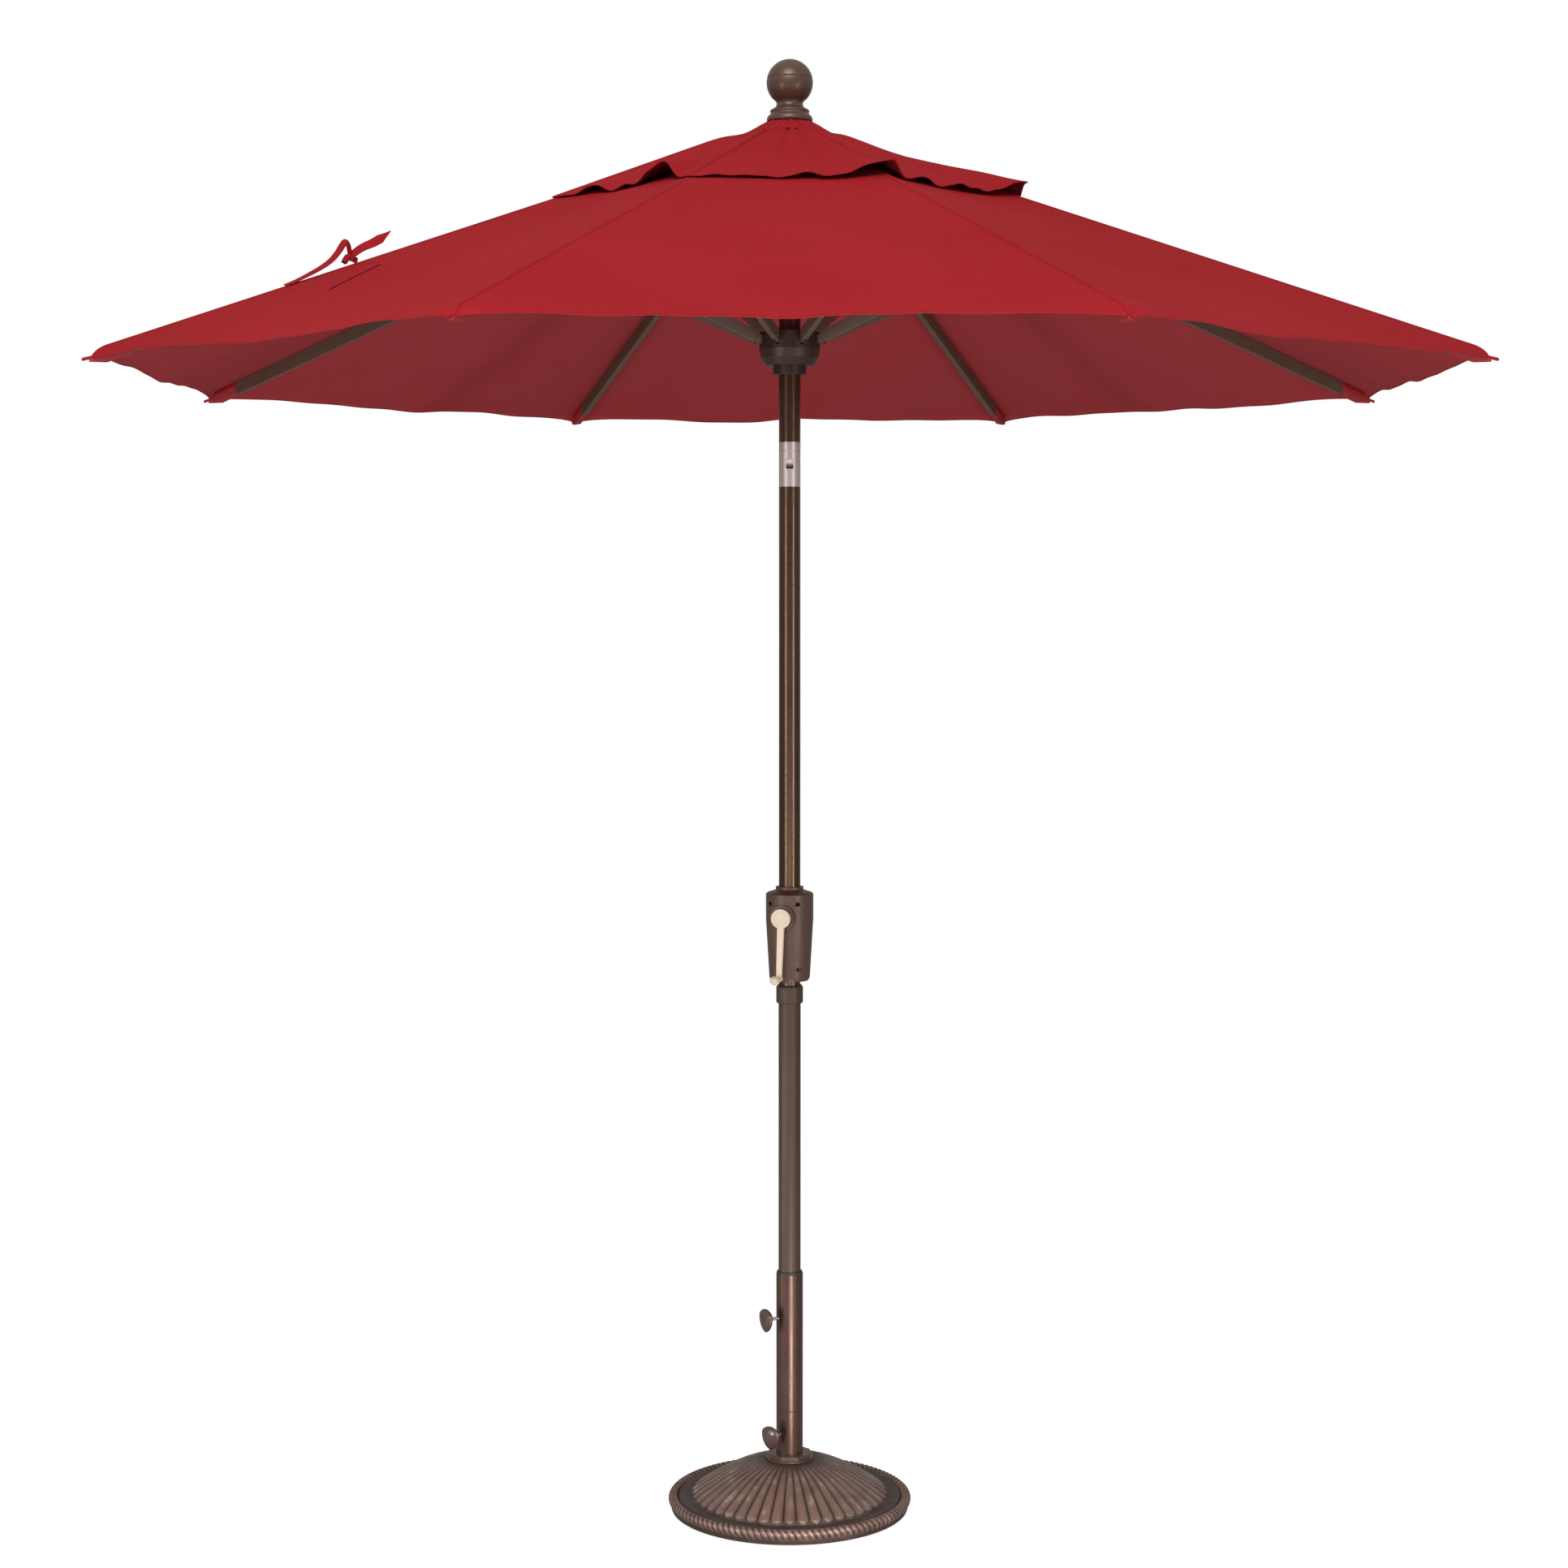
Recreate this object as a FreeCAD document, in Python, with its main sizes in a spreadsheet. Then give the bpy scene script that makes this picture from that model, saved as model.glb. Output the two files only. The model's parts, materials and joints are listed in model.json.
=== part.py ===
import FreeCAD, Part
import math
import os
import re
import Sketcher

# A crank-lift patio umbrella with eight ribs, a tilting mast and a weighted stand.
# Millimetres, Z up. The origin is on the pole's axis, at floor level; the front faces -Y.

doc = FreeCAD.newDocument("PatioUmbrella")

SIZES = {
    # canopy and ribs
    "tip_radius": 1300, "rim_height": 2190, "rib_slope": 19.95, "fabric_thick": 1.2,
    "fabric_gap": 1.6, "seam_gap_deg": 0.03, "canopy_top_radius": 260,
    "vent_radius": 468, "vent_top_radius": 46, "vent_lift": 8,
    "rib_wide": 12, "rib_tall": 24, "rib_wall": 1.2, "rib_short": 28,
    # hinges of ribs and struts
    "pivot_radius": 50, "pivot_pin": 2, "pin_play": 0.05, "open_pivot_play": 0.25,
    "tongue_thick": 5.6, "slot_play": 0.4, "tongue_reach": 16, "eye_radius": 7,
    "strut_length": 485, "strut_drop": 25, "strut_tall": 20, "strut_wide": 12, "strut_wall": 1.5,
    "strut_inset": 20, "fork_reach": 26, "lug_radius": 8,
    # crown, finial and pulley
    "crown_rim": 58, "crown_up": 8, "crown_down": 12, "finial_lift": 32.1, "mast_short": 5.5, "finial_flange": 43.5,
    "finial_step": 38.5, "finial_ring": 35, "finial_neck": 26.5, "finial_ball_rise": 77,
    "finial_ball_tall": 40.5, "pulley_drop": 52.47, "pulley_rim": 14, "pulley_thick": 8,
    "pulley_journal": 3, "hinge_pin_length": 16,
    # runner
    "runner_rim": 57.5, "runner_up": 17, "runner_down": 45, "runner_play": 0.6,
    "runner_foot": 46, "grip_radius": 31.5, "grip_tall": 18,
    # poles and their joint
    "pole_radius": 20.5, "pole_wall": 1.5, "lower_pole_step": 0.8, "fit_play": 0.05,
    "pole_split": 1008, "ferrule_half": 77, "ferrule_wall": 2, "collar_wall": 4.45,
    "collar_bottom": 990, "collar_top": 1025,
    # tilt joint
    "tilt_bottom": 1977, "tilt_pivot": 2028, "tilt_top": 2061, "tilt_disc": 17, "tilt_gap": 0.5,
    "tilt_relief": 10, "tilt_tongue": 14, "tilt_pin_radius": 4, "spigot_length": 45,
    # crank housing
    "housing_bottom": 1034, "housing_foot": 36, "housing_low": 39, "housing_wide": 45.5,
    "housing_shoulder": 1193, "housing_top": 1208, "housing_lip": 1214.7, "lip_radius": 26.5,
    "housing_wall": 3, "crank_height": 1158, "crank_turn_deg": 17, "crank_lean_deg": 2,
    "bezel_radius": 24, "bezel_proud": 4.5, "spindle_radius": 4, "disc_radius": 18.3,
    "disc_gap": 2, "disc_thick": 9, "arm_length": 115, "arm_wide": 13, "arm_narrow": 10,
    "arm_thick": 7, "knob_pin_radius": 2.5, "knob_length": 43, "knob_ball": 8.7,
    "knob_shank": 5, "spool_rim": 14, "spool_drum": 11, "spool_half": 11, "spool_flange": 2,
    "screw_offset": 27, "screw_low": 1058, "screw_high": 1184, "screw_shank": 2.2,
    "screw_head": 4, "screw_seat": 24, "boss_radius": 6,
    # stand
    "base_radius": 235.5, "band_radius": 191, "rim_tall": 30, "dome_height": 100,
    "shell_wall": 5, "foot_tall": 4, "foot_radius": 14, "foot_spread": 185,
    "stem_wall": 2, "stem_top": 463, "stem_floor": 5,
    "stem_groove": 196, "flange_radius": 43, "flange_tall": 11, "bush_tall": 48,
    "bush_play": 0.3, "bush_wall": 2.15, "bush_lip": 4, "lift_gap": 0.3,
    # clamping knobs
    "upper_knob_height": 377, "upper_knob_deg": 209, "lower_knob_height": 150,
    "lower_knob_deg": 225, "stud_radius": 3, "stud_gap": 0.4, "knob_centre": 52,
    "knob_half": 9.5, "knob_round": 30, "knob_lobe": 9,
    # closure strap on the canopy
    "strap_radius": 870, "strap_long": 270, "strap_wide": 16, "strap_lift": 4,
}

RIB_COUNT = 8
FIRST_RIB_DEG = 22.5
STRAP_RIB = 5
DOME_STEPS = 10

sheet = doc.addObject("Spreadsheet::Sheet", "Sizes")
for row, (alias, number) in enumerate(SIZES.items(), start=1):
    sheet.set(f"A{row}", alias)
    sheet.set(f"B{row}", str(number))
    sheet.setAlias(f"B{row}", alias)
doc.recompute()

# Places worked out from the driving sizes, as expressions.
SLOPE = "(rib_slope * 1deg)"
CROWN_Z = (f"(rim_height + (tip_radius - pivot_radius) * tan({SLOPE})"
           f" - (fabric_thick + fabric_gap + rib_tall / 2) / cos({SLOPE}))")
STRUT_SLOPE = "(rib_slope * 1deg + asin(strut_drop / strut_length))"
RUNNER_Z = f"({CROWN_Z} - 2 * strut_length * sin({STRUT_SLOPE}))"
FINIAL_SEAT = f"({CROWN_Z} + finial_lift)"
PULLEY_Z = f"({CROWN_Z} - pulley_drop)"
STRUT_SEAT = "sqrt(strut_length ^ 2 - strut_drop ^ 2)"
RIB_LENGTH = f"((tip_radius - rib_short - pivot_radius) / cos({SLOPE}))"
POLE_BORE = "(pole_radius - pole_wall)"
LOWER_POLE = "(pole_radius + lower_pole_step)"
LOWER_BORE = f"({LOWER_POLE} - pole_wall)"
COLLAR = f"({LOWER_POLE} + collar_wall)"
STEM_BORE = f"({LOWER_POLE} + bush_play + bush_wall)"
STEM = f"({STEM_BORE} + stem_wall)"
BEZEL_REACH = "(housing_wide + bezel_proud)"
DISC_BACK = f"({BEZEL_REACH} + disc_gap)"
KNOB_REACH = f"({DISC_BACK} + knob_length)"
BASE_FLOOR = "(foot_tall + 2)"
SOCKET_FLOOR = f"({BASE_FLOOR} + stem_floor)"
PAST_POLE = "(2 * pole_radius)"

nodes = {}


def bound(text):
    """The expression with every alias written as a reference to the sheet."""
    return re.sub(r"[a-z_]+", lambda word: f"Sizes.{word[0]}" if word[0] in SIZES else word[0], text)


def make(kind, name, **sizes):
    """A document object with its properties bound to expressions."""
    thing = doc.addObject(kind, name)
    for key, text in sizes.items():
        thing.setExpression(key, bound(str(text)))
    return thing


def place(thing, x="0", y="0", z="0", turn="rotation(vector(0; 0; 1); 0)"):
    """Bind the whole placement: a point, and a rotation."""
    thing.setExpression("Placement", bound(f"placement(vector({x}; {y}; {z}); {turn})"))
    return thing


def about(axis, angle):
    """A rotation by an angle in degrees about X, Y or Z."""
    vector = {"x": "1; 0; 0", "y": "0; 1; 0", "z": "0; 0; 1"}[axis]
    return f"rotation(vector({vector}); {angle})"


def rod(name, radius, low, high, along="z"):
    """A cylinder about Z or Y, from low to high along it."""
    solid = make("Part::Cylinder", name, Radius=radius, Height=f"({high}) - ({low})")
    if along == "z":
        return place(solid, z=low)
    return place(solid, y=low, turn=about("x", -90))


def cross_rod(name, radius, half, height):
    """A cylinder along X, with its middle over the origin, at a height."""
    solid = make("Part::Cylinder", name, Radius=radius, Height=f"2 * ({half})")
    return place(solid, f"-({half})", "0", height, about("y", 90))


def block(name, x, y, z):
    """A box from three (low, high) pairs."""
    spans = [f"({high}) - ({low})" for low, high in (x, y, z)]
    solid = make("Part::Box", name, Length=spans[0], Width=spans[1], Height=spans[2])
    return place(solid, x[0], y[0], z[0])


def joined(name, *solids):
    """The union of several solids."""
    union = doc.addObject("Part::MultiFuse", name)
    union.Shapes = list(solids)
    return union


def shared(name, *solids):
    """What several solids have in common."""
    common = doc.addObject("Part::MultiCommon", name)
    common.Shapes = list(solids)
    return common


def without(name, base, *tools):
    """The base with every tool cut away."""
    difference = doc.addObject("Part::Cut", name)
    difference.Base = base
    difference.Tool = tools[0] if len(tools) == 1 else joined(name + "_tools", *tools)
    return difference


def group(name, *solids):
    """Several separate solids as one object."""
    several = doc.addObject("Part::Compound", name)
    several.Links = list(solids)
    return several


def keep(name, thing):
    """Name a finished sub-part, which is written to its own file."""
    thing.Label = name
    nodes[name] = thing
    return thing


def turned(name, outline):
    """A PartDesign body turned about Z from (radius, height) points, fully constrained to the sheet."""
    body = doc.addObject("PartDesign::Body", name + "_body")
    sketch = body.newObject("Sketcher::SketchObject", name + "_outline")
    plane = [item for item in body.Origin.OriginFeatures if item.Role == "XZ_Plane"][0]
    sketch.AttachmentSupport = [(plane, "")]
    sketch.MapMode = "FlatFace"
    count = len(outline)
    ring = [2 * math.pi * index / count for index in range(count)]
    start = [FreeCAD.Vector(60 + 50 * math.cos(angle), 60 + 50 * math.sin(angle), 0) for angle in ring]
    for index in range(count):
        sketch.addGeometry(Part.LineSegment(start[index], start[(index + 1) % count]), False)
    for index, (radius, height) in enumerate(outline):
        sketch.addConstraint(Sketcher.Constraint("Coincident", index, 2, (index + 1) % count, 1))
        if radius == "0":
            sketch.addConstraint(Sketcher.Constraint("PointOnObject", index, 1, -2))
        else:
            number = sketch.addConstraint(Sketcher.Constraint("DistanceX", -1, 1, index, 1, start[index].x))
            sketch.setExpression(f"Constraints[{number}]", bound(radius))
        number = sketch.addConstraint(Sketcher.Constraint("DistanceY", -1, 1, index, 1, start[index].y))
        sketch.setExpression(f"Constraints[{number}]", bound(height))
    doc.recompute()
    turn = body.newObject("PartDesign::Revolution", name + "_turn")
    turn.Profile = sketch
    turn.ReferenceAxis = (sketch, ["V_Axis"])
    turn.Angle = 360
    doc.recompute()
    return body


def tube(name, outer, inner, low, high):
    """A plain round tube."""
    return turned(name, [(inner, low), (outer, low), (outer, high), (inner, high)])


def rib_azimuth(index):
    """The direction of a rib in degrees, counted from +X."""
    return FIRST_RIB_DEG + 360 / RIB_COUNT * index


def outward(azimuth, height):
    """Placement words that turn local Z to point outwards at an azimuth, with local X pointing down."""
    return {"z": height, "turn": f"{about('z', azimuth)} * {about('y', 90)}"}


# ---------------------------------------------------------------- the stand

def dome(drop):
    """Points down the dome of the base, from the stem to the flat band, lowered by drop."""
    points = []
    for step in range(DOME_STEPS + 1):
        share = step / DOME_STEPS
        radius = f"{STEM} + (band_radius - {STEM}) * {share}"
        height = f"rim_tall + (dome_height - rim_tall) * cos(90deg * {share}) - {drop}"
        points.append((radius, height))
    return points


def stand():
    """The weighted base with its feet, stem, foot flange and bush."""
    inner_rim = "base_radius - shell_wall - 3"
    rim = [("base_radius - 6", "rim_tall"), ("base_radius", "rim_tall - 7"),
           ("base_radius", "foot_tall + 6"), ("base_radius - 6", "foot_tall"),
           (inner_rim, "foot_tall"), (inner_rim, "rim_tall - shell_wall - 3")]
    keep("base_shell", turned("shell", dome("0") + rim + dome("shell_wall")[::-1]))
    fill = [(STEM, BASE_FLOOR), (inner_rim, BASE_FLOOR), (inner_rim, "rim_tall - shell_wall - 3")]
    keep("base_ballast", turned("ballast", fill + dome("shell_wall")[::-1]))

    feet = []
    for index in range(4):
        foot = make("Part::Cylinder", f"foot_{index}", Radius="foot_radius", Height=BASE_FLOOR)
        angle = 45 + 90 * index
        feet.append(place(foot, f"foot_spread * cos({angle}deg)", f"foot_spread * sin({angle}deg)"))
    keep("rubber_feet", group("feet", *feet))

    stem = turned("stem", [
        ("0", BASE_FLOOR), (STEM, BASE_FLOOR),
        (STEM, "stem_groove"), (f"{STEM} - 0.6", "stem_groove + 0.6"),
        (STEM, "stem_groove + 1.2"), (STEM, "stem_top"),
        (STEM_BORE, "stem_top"), (STEM_BORE, SOCKET_FLOOR), ("0", SOCKET_FLOOR)])
    holes = []
    for name in ("upper", "lower"):
        hole = make("Part::Cylinder", name + "_stud_hole", Radius="stud_radius + pin_play",
                    Height=f"{STEM} + 10")
        holes.append(place(hole, **outward(f"{name}_knob_deg", f"{name}_knob_height")))
    keep("stem_tube", without("stem_drilled", stem, *holes))

    plate = make("Part::Prism", "flange_plate", Circumradius="flange_radius", Height="flange_tall")
    plate.Polygon = 8
    place(plate, z="dome_height", turn=about("z", 22.5))
    lip = rod("flange_lip", "flange_radius + 3", "dome_height", "dome_height + 3")
    bore = rod("flange_bore", STEM, "dome_height - 1", "dome_height + flange_tall + 1")
    keep("stem_flange", without("flange", joined("flange_solid", plate, lip), bore))

    inside = f"{LOWER_POLE} + bush_play"
    keep("stem_bush", turned("bush", [
        (inside, "stem_top - bush_tall"), (STEM_BORE, "stem_top - bush_tall"),
        (STEM_BORE, "stem_top"), (f"{STEM} - 1", "stem_top"),
        (f"{STEM} - 1", "stem_top + bush_lip"), (inside, "stem_top + bush_lip")]))


def clamp_knob(name):
    """A three-lobed pebble knob on its stud, pointing out from the stem."""
    pose = outward(f"{name}_deg", f"{name}_height")
    lobes = []
    for index in range(3):
        angle = 120 * index
        lobe = make("Part::Ellipsoid", f"{name}_lobe_{index}", Radius1="knob_half",
                    Radius2="knob_round", Radius3="knob_round")
        lobes.append(place(lobe, f"knob_lobe * cos({angle}deg)", f"knob_lobe * sin({angle}deg)", "knob_centre"))
    pebble = shared(name + "_pebble", *lobes)
    socket = rod(name + "_socket", "stud_radius", "0", "knob_centre")
    keep(name, place(without(name + "_grip", pebble, socket), **pose))
    tip = f"{LOWER_POLE} + stud_gap"
    stud = rod(name + "_stud_rod", "stud_radius", tip, "knob_centre")
    keep(name + "_stud", place(group(name + "_stud_group", stud), **pose))


# ---------------------------------------------------------------- the poles

def poles():
    """The two pole halves, what joins them, and the plug that stands in the stem."""
    bottom = f"{SOCKET_FLOOR} + lift_gap"
    seat = f"{bottom} + stem_floor"
    keep("pole_foot_plug", turned("plug", [
        ("0", bottom), (LOWER_POLE, bottom), (LOWER_POLE, seat),
        (f"{LOWER_BORE} - fit_play", seat), (f"{LOWER_BORE} - fit_play", f"{seat} + 24"),
        ("0", f"{seat} + 24")]))
    keep("lower_pole", tube("lower_tube", LOWER_POLE, LOWER_BORE,
                            f"{seat} + lift_gap", "pole_split"))
    core = f"{POLE_BORE} - ferrule_wall"
    keep("pole_ferrule", turned("ferrule", [
        (core, "pole_split - ferrule_half"), (LOWER_BORE, "pole_split - ferrule_half"),
        (LOWER_BORE, "pole_split"), (POLE_BORE, "pole_split"),
        (POLE_BORE, "pole_split + ferrule_half"), (core, "pole_split + ferrule_half")]))
    keep("pole_joint_collar", turned("collar", [
        (LOWER_POLE, "collar_bottom"), (f"{COLLAR} - 1.5", "collar_bottom"),
        (COLLAR, "collar_bottom + 2"), (COLLAR, "collar_top - 4"),
        (f"{COLLAR} - 3", "collar_top"), ("pole_radius", "collar_top"),
        ("pole_radius", "pole_split"), (LOWER_POLE, "pole_split")]))
    blank = tube("main_tube", "pole_radius", POLE_BORE, "pole_split", "tilt_bottom")
    bearing = make("Part::Cylinder", "pole_bearing", Radius="spindle_radius + pin_play",
                   Height="pole_radius + 5")
    place(bearing, **outward("270 - crank_turn_deg", "crank_height"))
    keep("main_pole", without("main_pole_drilled", blank, bearing))


# ---------------------------------------------------------------- the crank

def crank_pose():
    """Local Z runs outwards along the crank's axis, and local X points down."""
    return outward("270 - crank_turn_deg", "crank_height")


def crank_housing():
    """Two shells round the pole, with screw bosses, a bezel and four screws."""
    wide, low = "housing_wide - housing_wall", "housing_low - housing_wall"
    outer = [("pole_radius", "housing_bottom"), ("housing_foot", "housing_bottom"),
             ("housing_low", "housing_bottom + 6"), ("housing_wide", "housing_shoulder - 40"),
             ("housing_wide", "housing_shoulder + 8"), ("housing_wide - 4", "housing_top - 4"),
             ("lip_radius + 2", "housing_top"), ("lip_radius", "housing_top + 1.5"),
             ("lip_radius", "housing_lip"), ("pole_radius", "housing_lip")]
    cavity = [("pole_radius", "housing_bottom + housing_wall + 2"),
              (low, "housing_bottom + housing_wall + 4"),
              (wide, "housing_shoulder - 40"), (wide, "housing_shoulder"),
              ("pole_radius", "housing_top - housing_wall - 3")]
    solid = turned("housing_solid", outer)
    hollow = turned("housing_cavity", cavity)
    shell = without("housing_shell", solid, hollow)

    posts, drills, screws = [], [], []
    for side in (-1, 1):
        for level in ("screw_low", "screw_high"):
            tag = f"{'left' if side < 0 else 'right'}_{level}"
            spot = {"x": f"crank_height - {level}", "y": f"{side} * screw_offset"}
            post = make("Part::Cylinder", "post_" + tag, Radius="boss_radius", Height="2 * housing_wide")
            posts.append(place(post, z="-housing_wide", **spot))
            seat = make("Part::Cylinder", "seat_" + tag, Radius="screw_head + 0.4", Height="housing_wide")
            drills.append(place(seat, z="screw_seat", **spot))
            shank = make("Part::Cylinder", "shank_" + tag, Radius="screw_shank", Height="2 * screw_seat + 1")
            place(shank, z="-screw_seat", **spot)
            drills.append(shank)
            head = make("Part::Cylinder", "head_" + tag, Radius="screw_head", Height="3")
            place(head, z="screw_seat", **spot)
            slot = make("Part::Box", "slot_" + tag, Length="1.2", Width="6", Height="2")
            place(slot, x=f"crank_height - {level} - 0.6", y=f"{side} * screw_offset - 3", z="screw_seat + 2")
            screws.append(without("screw_" + tag, joined("blank_" + tag, head, shank), slot))
    keep("housing_screws", place(group("screws", *screws), **crank_pose()))

    bezel = place(make("Part::Cylinder", "bezel", Radius="bezel_radius",
                       Height=f"{BEZEL_REACH} - pole_radius - 10"),
                  z="pole_radius + 10")
    fittings = place(joined("housing_fittings", bezel, *posts), **crank_pose())
    trimmed = without("bosses", shared("bosses_inside", fittings, solid),
                      rod("housing_bore", "pole_radius", "housing_bottom - 1", "housing_lip + 1"))
    ring = place(make("Part::Cylinder", "bezel_ring", Radius="bezel_radius",
                      Height=f"{BEZEL_REACH} - housing_wide + 8"),
                 z="housing_wide - 8")
    proud = place(group("bezel_proud", ring), **crank_pose())
    drilled = without("housing", joined("housing_all", shell, trimmed, proud),
                      place(group("housing_drills", *drills), **crank_pose()),
                      place(make("Part::Cylinder", "spindle_hole", Radius="spindle_radius + pin_play",
                                 Height="housing_wide + 20"), **crank_pose()))
    past = "4 * housing_wide"
    front = block("front_half", (f"-{past}", past), (f"-{past}", past), ("0", past))
    rear = block("rear_half", (f"-{past}", past), (f"-{past}", past), (f"-{past}", "0"))
    front_side, rear_side = (place(group(f"side_{box.Name}", box), **crank_pose()) for box in (front, rear))
    keep("crank_housing_front", without("housing_front", drilled, rear_side))
    keep("crank_housing_rear", without("housing_rear", drilled, front_side))


def crank():
    """Arm, spindle and cord spool, with the spinning knob on its pin."""
    pose = crank_pose()
    pose["turn"] += f" * {about('z', '-crank_lean_deg')}"
    face = f"{DISC_BACK} + disc_thick"
    disc = rod("crank_disc", "disc_radius", DISC_BACK, face)
    arm = make("Part::Wedge", "crank_bar", Xmin="-arm_wide / 2", Xmax="arm_wide / 2",
               Ymin="0", Ymax="arm_length", Zmin="0", Zmax="arm_thick",
               X2min="-arm_narrow / 2", X2max="arm_narrow / 2", Z2min="0", Z2max="arm_thick")
    place(arm, z=DISC_BACK, turn=about("z", -90))
    end = place(make("Part::Cylinder", "crank_end", Radius="arm_narrow / 2 + 1", Height="arm_thick"),
                "arm_length", "0", DISC_BACK)
    groove = without("disc_groove", rod("groove_out", "disc_radius - 5", f"{face} - 0.6", f"{face} + 1"),
                     rod("groove_in", "disc_radius - 6.2", f"{face} - 1", f"{face} + 2"))
    socket = rod("crank_socket", "spindle_radius", f"{DISC_BACK} - 1", f"{DISC_BACK} + 5")
    pin_seat = place(make("Part::Cylinder", "knob_pin_seat", Radius="knob_pin_radius", Height="arm_thick + 2"),
                     "arm_length", "0", f"{DISC_BACK} - 1")
    body = without("crank_arm_solid", joined("crank_arm_blank", disc, arm, end), groove, socket, pin_seat)
    keep("crank_arm", place(body, **pose))
    spindle = rod("spindle_rod", "spindle_radius", "-spool_half - 2", f"{DISC_BACK} + 5")
    keep("crank_spindle", place(group("spindle", spindle), **crank_pose()))
    flange = "spool_flange"
    spool = turned("spool", [
        ("spindle_radius", "0"), ("spool_rim", "0"), ("spool_rim", flange), ("spool_drum", flange),
        ("spool_drum", f"2 * spool_half - {flange}"), ("spool_rim", f"2 * spool_half - {flange}"),
        ("spool_rim", "2 * spool_half"), ("spindle_radius", "2 * spool_half")])
    place(spool, z="-spool_half")
    keep("cord_spool", place(group("spool_group", spool), **crank_pose()))

    pin = rod("knob_pin_rod", "knob_pin_radius", DISC_BACK, f"{KNOB_REACH} - 5")
    place(pin, "arm_length", "0", DISC_BACK)
    keep("crank_knob_pin", place(group("knob_pin", pin), **pose))
    foot = f"{face} - 1"
    ball = place(make("Part::Sphere", "knob_ball_solid", Radius="knob_ball"), z=f"{KNOB_REACH} - knob_ball")
    shank = rod("knob_shank_rod", "knob_shank", foot, f"{KNOB_REACH} - knob_ball")
    dimple = place(make("Part::Sphere", "knob_dimple", Radius="3"), z=f"{KNOB_REACH} + 1")
    bore = rod("knob_bore", "knob_pin_radius + pin_play", f"{foot} - 1", f"{KNOB_REACH} - 4.9")
    grip = without("knob_grip", joined("knob_blank", ball, shank), dimple, bore)
    place(grip, "arm_length", "0", "0")
    keep("crank_knob", place(group("knob_group", grip), **pose))


# ---------------------------------------------------------------- the tilting joint

def tilt_joint():
    """A fork on the main pole, a tongue on the mast, and the pin through both."""
    top = "tilt_pivot + tilt_disc - tilt_gap"
    full = rod("fork_round", "pole_radius", "tilt_bottom", top)
    everywhere = (f"-{PAST_POLE}", PAST_POLE)
    relieved = "tilt_pivot + tilt_disc - tilt_relief - tilt_gap"
    low = block("fork_low", everywhere, everywhere, ("tilt_bottom", relieved))
    fore = block("fork_fore", everywhere, (f"-{PAST_POLE}", "0"), ("tilt_bottom", top))
    disc = cross_rod("fork_disc", "tilt_disc - tilt_gap", PAST_POLE, "tilt_pivot")
    ears = shared("fork_ears", full, joined("fork_limit", low, fore, disc))
    spigot = rod("fork_spigot", POLE_BORE, "tilt_bottom - spigot_length", "tilt_bottom + 1")
    half_slot = "tilt_tongue / 2 + tilt_gap / 2"
    slot = block("fork_slot", (f"-({half_slot})", half_slot), everywhere,
                 ("tilt_pivot - tilt_disc - tilt_gap", "tilt_top"))
    hole = cross_rod("fork_hole", "tilt_pin_radius", PAST_POLE, "tilt_pivot")
    keep("tilt_lower_knuckle", without("fork", joined("fork_solid", ears, spigot), slot, hole))

    cap = rod("tongue_cap", "pole_radius", "tilt_pivot + tilt_disc", "tilt_top")
    core = rod("tongue_round", "pole_radius", "tilt_pivot", "tilt_pivot + tilt_disc + 1")
    flat = block("tongue_flat", ("-tilt_tongue / 2", "tilt_tongue / 2"), everywhere,
                 ("tilt_pivot", "tilt_pivot + tilt_disc + 1"))
    eye = cross_rod("tongue_eye", "tilt_disc", "tilt_tongue / 2", "tilt_pivot")
    plug = rod("tongue_plug", POLE_BORE, "tilt_top - 1", "tilt_top + spigot_length")
    pin_hole = cross_rod("tongue_hole", "tilt_pin_radius + pin_play", PAST_POLE, "tilt_pivot")
    web = shared("tongue_web", core, flat)
    keep("tilt_upper_knuckle", without("tongue", joined("tongue_solid", cap, web, eye, plug), pin_hole))

    reach = "sqrt(pole_radius ^ 2 - tilt_pin_radius ^ 2)"
    keep("tilt_pin", cross_rod("tilt_pin_rod", "tilt_pin_radius", reach, "tilt_pivot"))


# ---------------------------------------------------------------- mast, crown and runner

def radial_slots(name, low, high):
    """Eight slots for rib or strut tongues, open outwards, between two heights."""
    slots = []
    for index in range(RIB_COUNT):
        slot = block(f"{name}_{index}", ("pivot_radius - eye_radius - 1.5", "pivot_radius + 30"),
                     ("-(tongue_thick + slot_play) / 2", "(tongue_thick + slot_play) / 2"), (low, high))
        slots.append(place(group(f"{name}_{index}_turned", slot), turn=about("z", rib_azimuth(index))))
    return slots


def ring_of_pins(name, height):
    """Eight hinge pins, each across its own slot at the pivot radius."""
    pins = []
    for index in range(RIB_COUNT):
        angle = rib_azimuth(index)
        pin = rod(f"{name}_{index}", "pivot_pin", "-hinge_pin_length / 2", "hinge_pin_length / 2", along="y")
        pins.append(place(group(f"{name}_{index}_turned", pin), f"pivot_radius * cos({angle}deg)",
                          f"pivot_radius * sin({angle}deg)", height, about("z", angle)))
    return pins


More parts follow.
